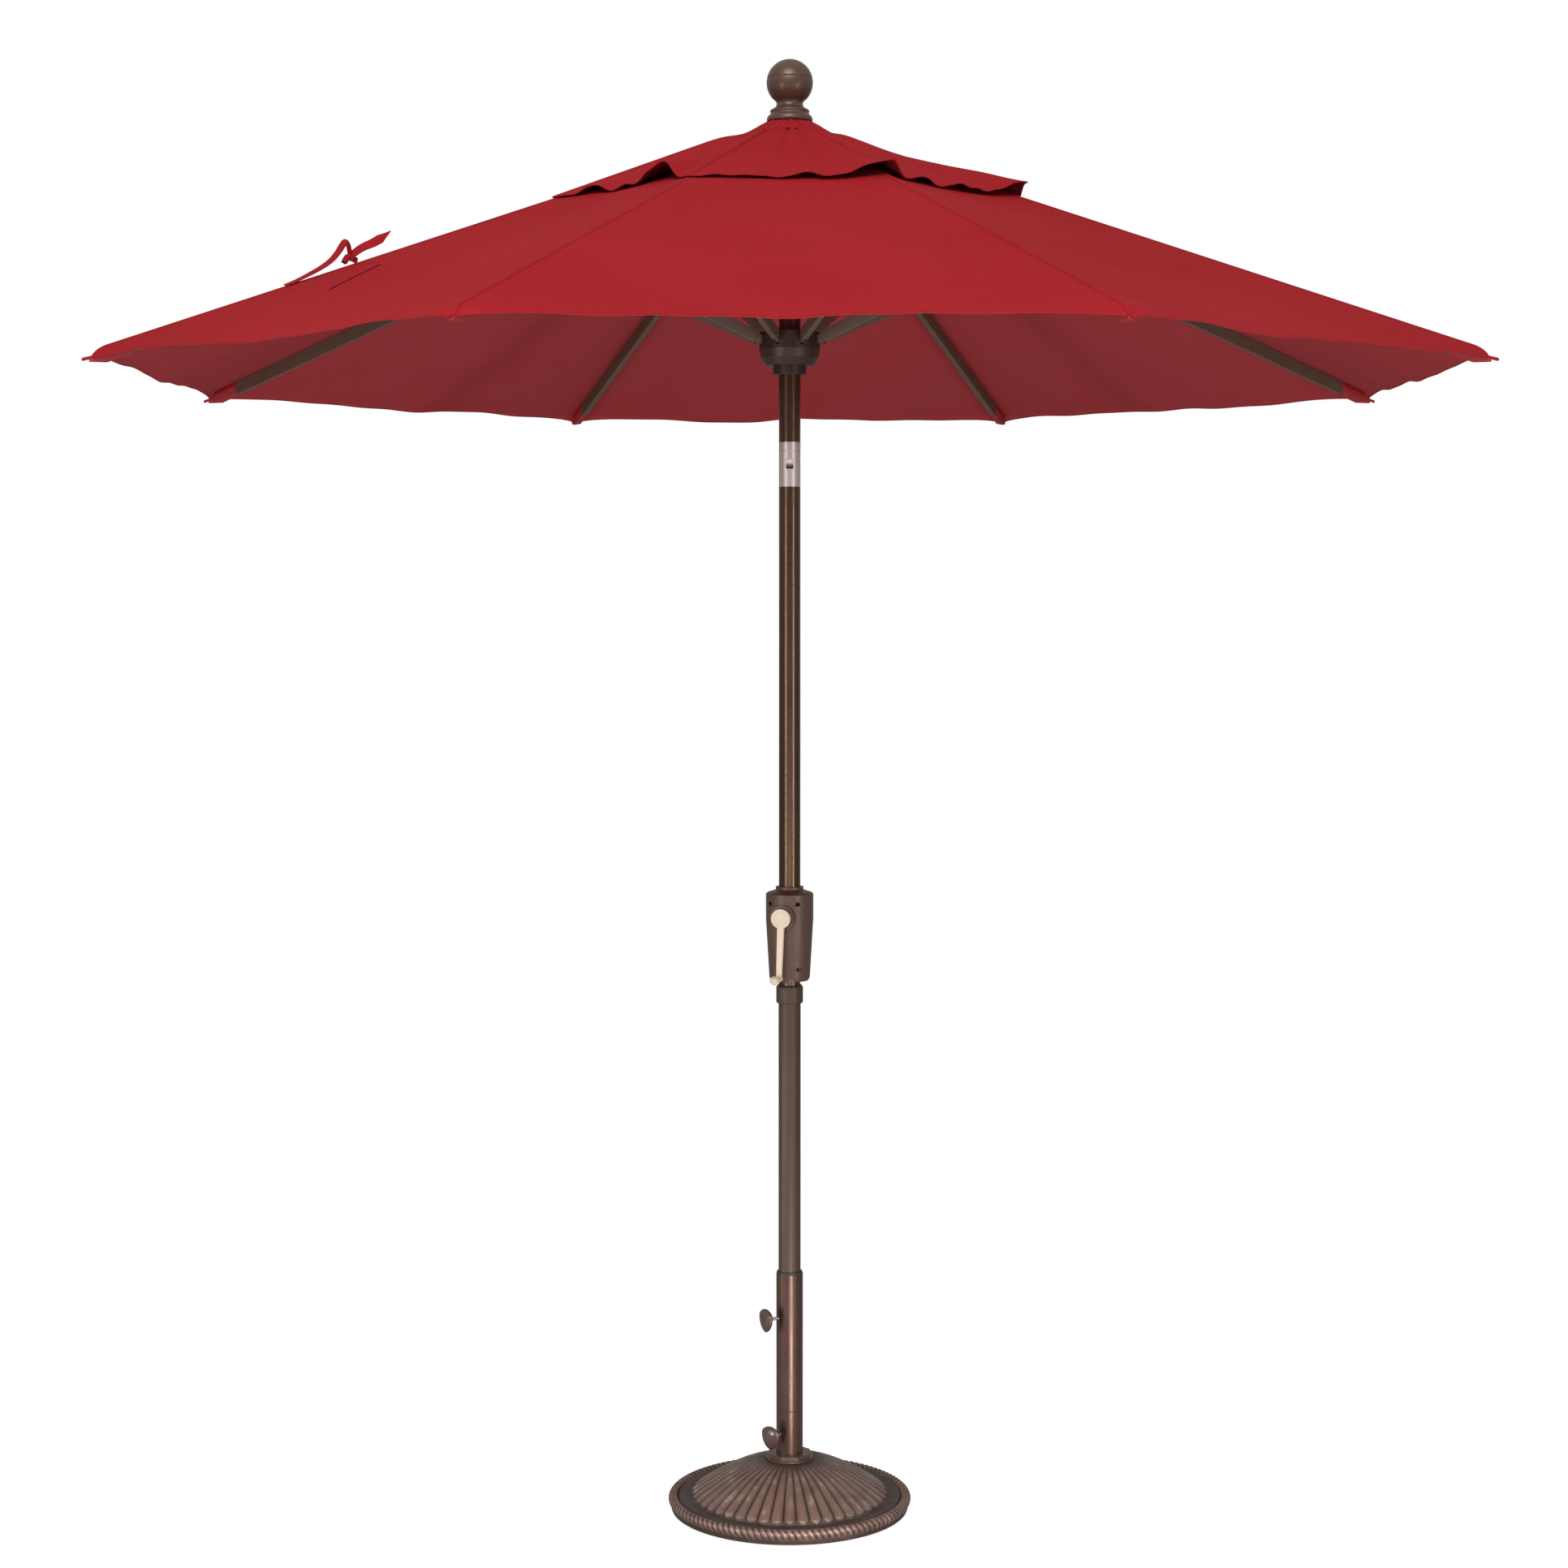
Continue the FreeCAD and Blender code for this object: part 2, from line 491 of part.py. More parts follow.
def crown():
    """Mast tube, pulley, slotted crown, its pins and the finial."""
    mast_top = f"{FINIAL_SEAT} - mast_short"
    blank = tube("mast_tube", "pole_radius", POLE_BORE, "tilt_top", mast_top)
    axle = cross_rod("mast_axle_hole", "pulley_journal + pin_play", PAST_POLE, PULLEY_Z)
    keep("upper_mast", without("mast_drilled", blank, axle))
    wheel = turned("wheel", [
        ("0", "0"), ("pulley_rim", "0"), ("pulley_rim - 2.5", "pulley_thick / 2"),
        ("pulley_rim", "pulley_thick"), ("0", "pulley_thick")])
    place(wheel, z="-pulley_thick / 2")
    journal = rod("pulley_axle", "pulley_journal", "-pole_radius", "pole_radius")
    keep("top_pulley", place(joined("pulley", wheel, journal), z=PULLEY_Z, turn=about("y", 90)))

    low, high = f"{CROWN_Z} - crown_down", f"{CROWN_Z} + crown_up"
    ring = turned("crown_ring", [
        ("pole_radius", low), ("crown_rim - 3", low), ("crown_rim", f"{low} + 3"),
        ("crown_rim", f"{high} - 2"), ("crown_rim - 3", high), ("pole_radius", high)])
    pins = ring_of_pins("crown_pin", CROWN_Z)
    keep("crown_pins", group("crown_pin_set", *pins))
    keep("crown_hub", without("crown", ring, *radial_slots("crown_slot", f"{low} - 1", f"{high} + 1"), *pins))

    seat, centre = FINIAL_SEAT, f"({FINIAL_SEAT} + finial_ball_rise)"
    stack = turned("finial_stack", [
        ("0", f"{seat} - 25"), (POLE_BORE, f"{seat} - 25"), (POLE_BORE, seat),
        ("finial_flange", seat), ("finial_flange", f"{seat} + 4"), ("finial_step", f"{seat} + 7"),
        ("finial_step", f"{seat} + 13"), ("finial_ring", f"{seat} + 15"), ("finial_ring", f"{seat} + 21"),
        ("finial_neck", f"{seat} + 24"), ("finial_neck", centre), ("0", centre)])
    ball = make("Part::Ellipsoid", "finial_ball", Radius1="finial_ball_tall",
                Radius2="finial_flange", Radius3="finial_flange")
    place(ball, z=centre)
    seam = rod("finial_seam", "finial_flange + 0.6", f"{centre} + 2", f"{centre} + 5")
    keep("finial", joined("finial_all", stack, ball, seam))


def runner():
    """The bowl-shaped runner that slides on the mast, its grip and its strut pins."""
    bore = "pole_radius + runner_play"
    low, high = f"{RUNNER_Z} - runner_down", f"{RUNNER_Z} + runner_up"
    bowl = turned("bowl", [
        (bore, low), ("runner_foot", low), ("runner_rim - 3", f"{low} + 14"),
        ("runner_rim", f"{low} + 30"), ("runner_rim", high), (bore, high)])
    pins = ring_of_pins("runner_pin", RUNNER_Z)
    keep("runner_pins", group("runner_pin_set", *pins))
    slots = radial_slots("runner_slot", f"{RUNNER_Z} - eye_radius - 2", f"{high} + 1")
    keep("runner_hub", without("runner", bowl, *slots, *pins))
    keep("runner_collar", turned("grip", [
        (bore, f"{low} - grip_tall"), ("grip_radius - 2", f"{low} - grip_tall"),
        ("grip_radius", f"{low} - grip_tall + 2"), ("grip_radius", low), (bore, low)]))


# ---------------------------------------------------------------- ribs and struts

def rib_blank():
    """A rib along +X from its crown pivot, with the lug that carries its strut."""
    half_wide, half_tall, half_tongue = "rib_wide / 2", "rib_tall / 2", "tongue_thick / 2"
    outside = block("rib_outside", ("tongue_reach", RIB_LENGTH), (f"-{half_wide}", half_wide),
                    (f"-{half_tall}", half_tall))
    inside = block("rib_inside", ("tongue_reach + 14", f"{RIB_LENGTH} + 1"),
                   (f"-{half_wide} + rib_wall", f"{half_wide} - rib_wall"),
                   (f"-{half_tall} + rib_wall", f"{half_tall} - rib_wall"))
    tongue = block("rib_tongue", ("0", "tongue_reach + 1"), (f"-{half_tongue}", half_tongue),
                   ("-eye_radius", "eye_radius"))
    eye = rod("rib_eye", "eye_radius", f"-{half_tongue}", half_tongue, along="y")
    lug = block("rib_lug", (f"{STRUT_SEAT} - lug_radius", f"{STRUT_SEAT} + lug_radius"),
                (f"-{half_tongue}", half_tongue), ("-strut_drop", f"-{half_tall} + rib_wall / 2"))
    lug_eye = place(make("Part::Cylinder", "rib_lug_eye", Radius="lug_radius", Height="tongue_thick"),
                    STRUT_SEAT, f"-{half_tongue}", "-strut_drop", about("x", -90))
    crown_hole = rod("rib_hole", "pivot_pin + pin_play", "-10", "10", along="y")
    strut_hole = place(make("Part::Cylinder", "rib_lug_hole", Radius="pivot_pin + pin_play", Height="20"),
                       STRUT_SEAT, "-10", "-strut_drop", about("x", -90))
    profile = without("rib_tube", outside, inside)
    return without("rib_blank", joined("rib_solid", profile, tongue, eye, lug, lug_eye), crown_hole, strut_hole)


def strut_blank():
    """A strut along +X from its runner pivot, ending in a fork riveted across the rib's lug."""
    half_wide, half_tall, half_tongue = "strut_wide / 2", "strut_tall / 2", "tongue_thick / 2"
    last = "strut_length - fork_reach"
    outside = block("strut_outside", ("strut_inset", last), (f"-{half_wide}", half_wide),
                    (f"-{half_tall}", half_tall))
    inside = block("strut_inside", ("strut_inset + 12", f"{last} - 12"),
                   (f"-{half_wide} + strut_wall", f"{half_wide} - strut_wall"),
                   (f"-{half_tall} + strut_wall", f"{half_tall} - strut_wall"))
    drain = place(make("Part::Cylinder", "strut_drain", Radius="1.5", Height=half_tall),
                  "strut_inset + 30", "0", f"-{half_tall} - 1")
    tongue = block("strut_tongue", ("0", "strut_inset + 1"), (f"-{half_tongue}", half_tongue),
                   ("-eye_radius", "eye_radius"))
    eye = rod("strut_eye", "eye_radius", f"-{half_tongue}", half_tongue, along="y")
    hole = rod("strut_hole", "pivot_pin + open_pivot_play", "-10", "10", along="y")
    arms = block("fork_arms", (f"{last} - 1", "strut_length"), (f"-{half_wide}", half_wide),
                 ("-eye_radius", "eye_radius"))
    arms_eye = place(make("Part::Cylinder", "fork_eye", Radius="eye_radius", Height="strut_wide"),
                     "strut_length", f"-{half_wide}", "0", about("x", -90))
    gap = f"({half_tongue} + slot_play / 2)"
    throat = block("fork_throat", (f"{last} + 4", "strut_length + 20"), (f"-{gap}", gap), ("-20", "20"))
    fork = without("strut_fork", joined("fork_blank", arms, arms_eye), throat)
    rivet = place(make("Part::Cylinder", "strut_rivet", Radius="pivot_pin", Height="strut_wide"),
                  "strut_length", f"-{half_wide}", "0", about("x", -90))
    bar = without("strut_bar", joined("strut_profile", outside, tongue, eye), inside, drain, hole)
    return joined("strut_blank", bar, fork, rivet)


def ribs_and_struts():
    """Eight ribs and eight struts, each a turned copy of its blank."""
    rib, strut = rib_blank(), strut_blank()
    for index in range(RIB_COUNT):
        angle = rib_azimuth(index)
        across, along = f"pivot_radius * cos({angle}deg)", f"pivot_radius * sin({angle}deg)"
        slope = f"{about('z', angle)} * {about('y', SLOPE)}"
        keep(f"rib_{index + 1}", place(group(f"rib_copy_{index}", rib), across, along, CROWN_Z, slope))
        rise = f"{about('z', angle)} * {about('y', '-' + STRUT_SLOPE)}"
        keep(f"strut_{index + 1}", place(group(f"strut_copy_{index}", strut), across, along, RUNNER_Z, rise))


# ---------------------------------------------------------------- the canopy

def octagon(name, radius, height):
    """A level eight-sided outline with its corners over the ribs."""
    outline = make("Part::RegularPolygon", name, Circumradius=radius)
    outline.Polygon = RIB_COUNT
    return place(outline, z=height, turn=about("z", FIRST_RIB_DEG))


def tent(name, wide, low, narrow, high):
    """A thin eight-sided cover between a wide outline and a narrow one above it."""
    skins = []
    for layer, drop in (("over", "0"), ("under", f"fabric_thick / cos({SLOPE})")):
        skin = doc.addObject("Part::Loft", f"{name}_{layer}")
        skin.Sections = [octagon(f"{name}_{layer}_wide", wide, f"{low} - {drop}"),
                         octagon(f"{name}_{layer}_narrow", narrow, f"{high} - {drop}")]
        skin.Solid = True
        skin.Ruled = True
        skins.append(skin)
    opening = make("Part::Prism", name + "_opening", Circumradius=f"{narrow} + 1",
                   Height="50 * fabric_thick")
    opening.Polygon = RIB_COUNT
    place(opening, z=f"{high} - 25 * fabric_thick", turn=about("z", FIRST_RIB_DEG))
    return without(name, skins[0], skins[1], opening)


def canopy():
    """Eight sewn gores, the vent cover above them and the closure strap."""
    edge_rise = f"(tip_radius - canopy_top_radius) * tan({SLOPE})"
    cover = tent("main_tent", "tip_radius", "rim_height", "canopy_top_radius", f"rim_height + {edge_rise}")
    for index in range(RIB_COUNT):
        sector = make("Part::Cylinder", f"sector_{index}", Radius="tip_radius + 50",
                      Height=f"{FINIAL_SEAT} - rim_height + 100", Angle="45deg - seam_gap_deg * 1deg")
        start = rib_azimuth(index) - 180 / RIB_COUNT
        place(sector, z="rim_height - 50", turn=about("z", start))
        keep(f"canopy_gore_{index + 1}", shared(f"gore_{index}", cover, sector))
    vent_low = f"rim_height + (tip_radius - vent_radius) * tan({SLOPE}) + vent_lift"
    keep("vent_canopy", tent("vent_tent", "vent_radius", vent_low, "vent_top_radius", FINIAL_SEAT))

    azimuth = rib_azimuth(STRAP_RIB - 1)
    height = f"rim_height + (tip_radius - strap_radius) * tan({SLOPE}) + strap_lift"
    band = make("Part::Box", "strap_band", Length="strap_long", Width="strap_wide", Height="fabric_thick")
    place(band, "-strap_long / 2", "-strap_wide / 2", "0")
    keep("closure_strap", place(group("strap", band), f"strap_radius * cos({azimuth}deg)",
                                f"strap_radius * sin({azimuth}deg)", height,
                                f"{about('z', azimuth)} * {about('y', SLOPE)}"))


# ---------------------------------------------------------------- build, check, write

stand()
clamp_knob("upper_knob")
clamp_knob("lower_knob")
poles()
crank_housing()
crank()
tilt_joint()
crown()
runner()
ribs_and_struts()
canopy()
doc.recompute()

for thing in doc.Objects:
    if {"Invalid", "Error"} & set(thing.State):
        raise RuntimeError(f"{thing.Label} failed: {thing.State}")
for name, thing in nodes.items():
    if thing.Shape.isNull() or not thing.Shape.isValid() or not thing.Shape.Solids:
        raise RuntimeError(f"{name} has no valid solid")

os.makedirs("parts", exist_ok=True)
for name, thing in nodes.items():
    thing.Shape.exportStep(f"parts/{name}.step")
print(f"{len(nodes)} sub-parts written")
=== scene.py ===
import json
import logging
import math
from dataclasses import dataclass, field
from enum import Enum

import bmesh
import bpy
import numpy as np
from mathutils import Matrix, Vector
from numpy.typing import NDArray


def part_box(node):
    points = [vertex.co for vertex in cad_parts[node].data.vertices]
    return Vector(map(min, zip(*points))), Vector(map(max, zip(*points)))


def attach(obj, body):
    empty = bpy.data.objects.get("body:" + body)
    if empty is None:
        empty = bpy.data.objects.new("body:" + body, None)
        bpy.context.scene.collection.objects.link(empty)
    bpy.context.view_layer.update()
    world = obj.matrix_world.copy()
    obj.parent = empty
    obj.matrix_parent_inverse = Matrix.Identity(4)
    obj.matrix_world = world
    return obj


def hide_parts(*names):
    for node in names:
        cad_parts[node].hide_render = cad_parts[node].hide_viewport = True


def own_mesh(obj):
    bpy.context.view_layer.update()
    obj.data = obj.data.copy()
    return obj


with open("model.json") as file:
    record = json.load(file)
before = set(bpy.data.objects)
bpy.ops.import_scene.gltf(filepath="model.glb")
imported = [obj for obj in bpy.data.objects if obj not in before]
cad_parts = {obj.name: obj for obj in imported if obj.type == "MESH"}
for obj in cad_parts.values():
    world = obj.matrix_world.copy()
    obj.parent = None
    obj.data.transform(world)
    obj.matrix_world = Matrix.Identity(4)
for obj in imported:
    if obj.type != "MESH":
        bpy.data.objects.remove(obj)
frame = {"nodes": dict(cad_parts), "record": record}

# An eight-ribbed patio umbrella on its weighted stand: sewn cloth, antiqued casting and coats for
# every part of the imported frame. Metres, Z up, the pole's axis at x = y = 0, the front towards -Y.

Array = NDArray[np.float64]
Colour = tuple[float, float, float, float]
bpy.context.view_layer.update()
LOG = logging.getLogger("patio_umbrella")
SHARP = math.radians(55.0)
UP = np.array([0, 0, 1.0])


def tone(red: int, green: int, blue: int) -> Colour:
    """A display colour, 0 to 255 a channel, as linear light with full alpha."""
    encoded = np.array([red, green, blue]) / 255.0
    linear = np.where(encoded <= 0.04045, encoded / 12.92, ((encoded + 0.055) / 1.055) ** 2.4)
    return (*linear.tolist(), 1.0)


# ---------------------------------------------------------------- node trees

class Nodes:
    """Short calls that build one node tree."""

    def __init__(self, tree: bpy.types.NodeTree) -> None:
        """Keep the tree that the calls add to."""
        self.tree = tree

    def feed(self, socket: bpy.types.NodeSocket, value: object) -> None:
        """Link a socket to another one, or give it a plain value."""
        if isinstance(value, bpy.types.NodeSocket):
            self.tree.links.new(value, socket)
        else:
            socket.default_value = value

    def add(self, kind: str, options: dict[str, object] | None = None, **inputs: object) -> bpy.types.Node:
        """Add a node.

        Args:
            kind: The node's type name.
            options: Settings of the node itself.
            **inputs: Values or sockets by input name, with _ for a space.

        Returns:
            The new node.
        """
        node = self.tree.nodes.new(kind)
        for key, value in (options or {}).items():
            setattr(node, key, value)
        for key, value in inputs.items():
            self.feed(node.inputs[key.replace("_", " ")], value)
        return node

    def sum(self, operation: str, *values: object) -> bpy.types.NodeSocket:
        """The result of a Math node on one to three values or sockets."""
        node = self.add("ShaderNodeMath", {"operation": operation})
        for socket, value in zip(node.inputs, values):
            self.feed(socket, value)
        return node.outputs[0]

    def mix(self, share: object, first: object, second: object) -> bpy.types.NodeSocket:
        """A colour between two colours."""
        node = self.add("ShaderNodeMix", {"data_type": "RGBA"})
        for place, value in ((0, share), (6, first), (7, second)):
            self.feed(node.inputs[place], value)
        return node.outputs[2]

    def spread(self, value: object, low: float, high: float, first: float = 0.0,
               last: float = 1.0) -> bpy.types.NodeSocket:
        """A value mapped from the span low to high onto the span first to last, and held there."""
        return self.add("ShaderNodeMapRange", {"clamp": True}, Value=value, From_Min=low, From_Max=high,
                        To_Min=first, To_Max=last).outputs[0]

    def group(self, tree: bpy.types.NodeTree, **inputs: object) -> bpy.types.Node:
        """Place a shared group with its own values."""
        node = self.tree.nodes.new("ShaderNodeGroup")
        node.node_tree = tree
        for key, value in inputs.items():
            self.feed(node.inputs[key.replace("_", " ")], value)
        return node


class SharedGroup:
    """A node group that several finishes place, built the first time it is asked for."""

    def __init__(self, name: str, inputs: dict[str, str], outputs: tuple[str, ...]) -> None:
        """Make an empty group.

        Args:
            name: The group's name.
            inputs: Socket type, Float or Vector, by input name.
            outputs: Names of the value outputs.
        """
        self.tree = bpy.data.node_groups.new(name, "ShaderNodeTree")
        for key, kind in inputs.items():
            self.tree.interface.new_socket(name=key, in_out="INPUT", socket_type=f"NodeSocket{kind}")
        for key in outputs:
            self.tree.interface.new_socket(name=key, in_out="OUTPUT", socket_type="NodeSocketFloat")
        self.nodes = Nodes(self.tree)
        self.given = self.tree.nodes.new("NodeGroupInput").outputs
        self.result = self.tree.nodes.new("NodeGroupOutput").inputs

    def put(self, **values: object) -> bpy.types.NodeTree:
        """Link the outputs by name and return the finished tree."""
        for key, value in values.items():
            self.nodes.feed(self.result[key], value)
        return self.tree


def grain_group() -> bpy.types.NodeTree:
    """Two noises on one point: Speck, a fine one, and Cloud, a broad one, each with its own scale."""
    group = SharedGroup("grain", {"Vector": "Vector", "Fine": "Float", "Broad": "Float"}, ("Speck", "Cloud"))
    fine = group.nodes.add("ShaderNodeTexNoise", Vector=group.given["Vector"], Scale=group.given["Fine"],
                           Detail=2.0, Roughness=0.6)
    broad = group.nodes.add("ShaderNodeTexNoise", Vector=group.given["Vector"], Scale=group.given["Broad"],
                            Detail=3.0, Roughness=0.5)
    return group.put(Speck=fine.outputs[0], Cloud=broad.outputs[0])


def handling_group() -> bpy.types.NodeTree:
    """Marks of use: Rub, soft patches, and Scratch, thin lines drawn out along Z."""
    group = SharedGroup("handling", {"Vector": "Vector", "Patch": "Float", "Line": "Float"},
                        ("Rub", "Scratch"))
    nodes = group.nodes
    patch = nodes.add("ShaderNodeTexNoise", Vector=group.given["Vector"], Scale=group.given["Patch"],
                      Detail=4.0, Roughness=0.65)
    drawn = nodes.add("ShaderNodeMapping", Vector=group.given["Vector"], Scale=(1.0, 1.0, 0.03))
    line = nodes.add("ShaderNodeTexNoise", Vector=drawn.outputs[0], Scale=group.given["Line"], Detail=1.0)
    return group.put(Rub=nodes.spread(patch.outputs[0], 0.52, 0.72),
                     Scratch=nodes.spread(line.outputs[0], 0.62, 0.72))


def dust_group() -> bpy.types.NodeTree:
    """Dust, the share of fine dust on faces that look up, broken by a cloudy noise."""
    group = SharedGroup("settled_dust", {"Vector": "Vector"}, ("Dust",))
    nodes = group.nodes
    facing = nodes.add("ShaderNodeNewGeometry").outputs["Normal"]
    upward = nodes.add("ShaderNodeSeparateXYZ", Vector=facing).outputs["Z"]
    cloud = nodes.add("ShaderNodeTexNoise", Vector=group.given["Vector"], Scale=22.0, Detail=5.0)
    level = nodes.spread(upward, 0.35, 0.95)
    return group.put(Dust=nodes.sum("MULTIPLY", level, nodes.spread(cloud.outputs[0], 0.38, 0.68)))


def weave_group() -> bpy.types.NodeTree:
    """Plain weave on a UV in metres: Height of the threads, and Slub, the unevenness along them."""
    group = SharedGroup("plain_weave", {"Vector": "Vector", "Threads": "Float"}, ("Height", "Slub"))
    nodes = group.nodes
    cloth = nodes.add("ShaderNodeSeparateXYZ", Vector=group.given["Vector"])
    turn = nodes.sum("MULTIPLY", group.given["Threads"], math.pi)
    across = nodes.sum("SINE", nodes.sum("MULTIPLY", cloth.outputs["X"], turn))
    along = nodes.sum("SINE", nodes.sum("MULTIPLY", cloth.outputs["Y"], turn))
    height = nodes.sum("MULTIPLY_ADD", nodes.sum("MULTIPLY", across, along), 0.5, 0.5)
    drawn = nodes.add("ShaderNodeMapping", Vector=group.given["Vector"], Scale=(1.0, 0.04, 1.0))
    slub = nodes.add("ShaderNodeTexNoise", Vector=drawn.outputs[0], Scale=420.0, Detail=1.0)
    return group.put(Height=height, Slub=slub.outputs[0])


def stitch_group() -> bpy.types.NodeTree:
    """Thread, 1 on the dashes of a row of stitches: Across measures from the row, Along runs on it."""
    group = SharedGroup("stitches", {"Across": "Float", "Along": "Float", "Pitch": "Float"}, ("Thread",))
    nodes = group.nodes
    beside = nodes.spread(nodes.sum("ABSOLUTE", group.given["Across"]), 0.0005, 0.0009, 1.0, 0.0)
    phase = nodes.sum("FRACT", nodes.sum("DIVIDE", group.given["Along"], group.given["Pitch"]))
    dash = nodes.spread(nodes.sum("ABSOLUTE", nodes.sum("SUBTRACT", phase, 0.5)), 0.3, 0.38, 1.0, 0.0)
    return group.put(Thread=nodes.sum("MULTIPLY", beside, dash))


@dataclass
class Effects:
    """The shared node groups, each built once."""

    grain: bpy.types.NodeTree = field(default_factory=grain_group)
    handling: bpy.types.NodeTree = field(default_factory=handling_group)
    dust: bpy.types.NodeTree = field(default_factory=dust_group)
    weave: bpy.types.NodeTree = field(default_factory=weave_group)
    stitch: bpy.types.NodeTree = field(default_factory=stitch_group)


EFFECTS = Effects()


# ---------------------------------------------------------------- finishes

def new_material(name: str) -> tuple[bpy.types.Material, Nodes, bpy.types.Node]:
    """An empty material, its node calls and its Principled shader, already on the output."""
    material = bpy.data.materials.new(name)
    material.use_nodes = True
    material.node_tree.nodes.clear()
    nodes = Nodes(material.node_tree)
    shader = nodes.add("ShaderNodeBsdfPrincipled")
    nodes.add("ShaderNodeOutputMaterial", Surface=shader.outputs[0])
    return material, nodes, shader


@dataclass(frozen=True)
class Coat:
    """A painted, moulded or plated finish with speckle, orange peel, handling marks and dust.

    Args:
        name: The material's name.
        colour: Main colour.
        fleck: Colour of the fine specks.
        worn: Colour where hands and weather rub it.
        metallic: How metallic it is, 0 to 1.
        roughness: Its usual roughness.
        fine: Scale of the speckle, per metre.
        speckle: How strongly the speckle shows, 0 to 1.
        peel: Height of the surface texture, in metres.
        wear: How strongly rubbed patches show, 0 to 1.
        dust: How strongly dust shows, 0 to 1.
        coat: Weight of a clear coat.
    """

    name: str
    colour: Colour
    fleck: Colour
    worn: Colour
    metallic: float = 0.0
    roughness: float = 0.45
    fine: float = 900.0
    speckle: float = 0.35
    peel: float = 0.00004
    wear: float = 0.25
    dust: float = 0.1
    coat: float = 0.0

    def make(self) -> bpy.types.Material:
        """Build the material."""
        material, nodes, shader = new_material(self.name)
        place = nodes.add("ShaderNodeTexCoord").outputs["Object"]
        grain = nodes.group(EFFECTS.grain, Vector=place, Fine=self.fine, Broad=9.0)
        marks = nodes.group(EFFECTS.handling, Vector=place, Patch=14.0, Line=260.0)
        dust = nodes.group(EFFECTS.dust, Vector=place)
        specks = nodes.spread(grain.outputs["Speck"], 0.42, 0.72, 0.0, self.speckle)
        colour = nodes.mix(specks, self.colour, self.fleck)
        rubbed = nodes.sum("MULTIPLY", marks.outputs["Rub"], self.wear)
        colour = nodes.mix(rubbed, colour, self.worn)
        lying = nodes.sum("MULTIPLY", dust.outputs["Dust"], self.dust)
        colour = nodes.mix(lying, colour, tone(196, 186, 172))
        nodes.feed(shader.inputs["Base Color"], colour)
        matt = nodes.spread(grain.outputs["Cloud"], 0.3, 0.7, self.roughness - 0.05, self.roughness + 0.06)
        matt = nodes.sum("ADD", matt, nodes.sum("MULTIPLY", marks.outputs["Scratch"], 0.08))
        nodes.feed(shader.inputs["Roughness"], nodes.sum("ADD", matt, nodes.sum("MULTIPLY", lying, 0.5)))
        shader.inputs["Metallic"].default_value = self.metallic
        shader.inputs["Coat Weight"].default_value = self.coat
        shader.inputs["Coat Roughness"].default_value = 0.2
        bump = nodes.add("ShaderNodeBump", Height=grain.outputs["Speck"], Distance=self.peel, Strength=0.6)
        nodes.feed(shader.inputs["Normal"], bump.outputs[0])
        return material


@dataclass(frozen=True)
class TurnedMetal:
    """Bare metal with fine lines left by the lathe or the die, running round or along its axis.

    Args:
        name: The material's name.
        colour: Clean colour.
        dull: Colour of the tarnished patches.
        roughness: Its usual roughness.
        lines: How the tool lines are stretched, per metre in X, Y and Z.
    """

    name: str
    colour: Colour
    dull: Colour
    roughness: float = 0.3
    lines: tuple[float, float, float] = (30.0, 30.0, 1500.0)

    def make(self) -> bpy.types.Material:
        """Build the material."""
        material, nodes, shader = new_material(self.name)
        place = nodes.add("ShaderNodeTexCoord").outputs["Object"]
        grain = nodes.group(EFFECTS.grain, Vector=place, Fine=500.0, Broad=60.0)
        drawn = nodes.add("ShaderNodeMapping", Vector=place, Scale=self.lines)
        lines = nodes.add("ShaderNodeTexNoise", Vector=drawn.outputs[0], Scale=1.0, Detail=2.0).outputs[0]
        patches = nodes.spread(grain.outputs["Cloud"], 0.45, 0.75, 0.0, 0.6)
        nodes.feed(shader.inputs["Base Color"], nodes.mix(patches, self.colour, self.dull))
        nodes.feed(shader.inputs["Roughness"],
                   nodes.spread(lines, 0.3, 0.7, self.roughness - 0.08, self.roughness + 0.12))
        shader.inputs["Metallic"].default_value = 1.0
        bump = nodes.add("ShaderNodeBump", Height=lines, Distance=0.00003, Strength=0.5)
        nodes.feed(shader.inputs["Normal"], bump.outputs[0])
        return material


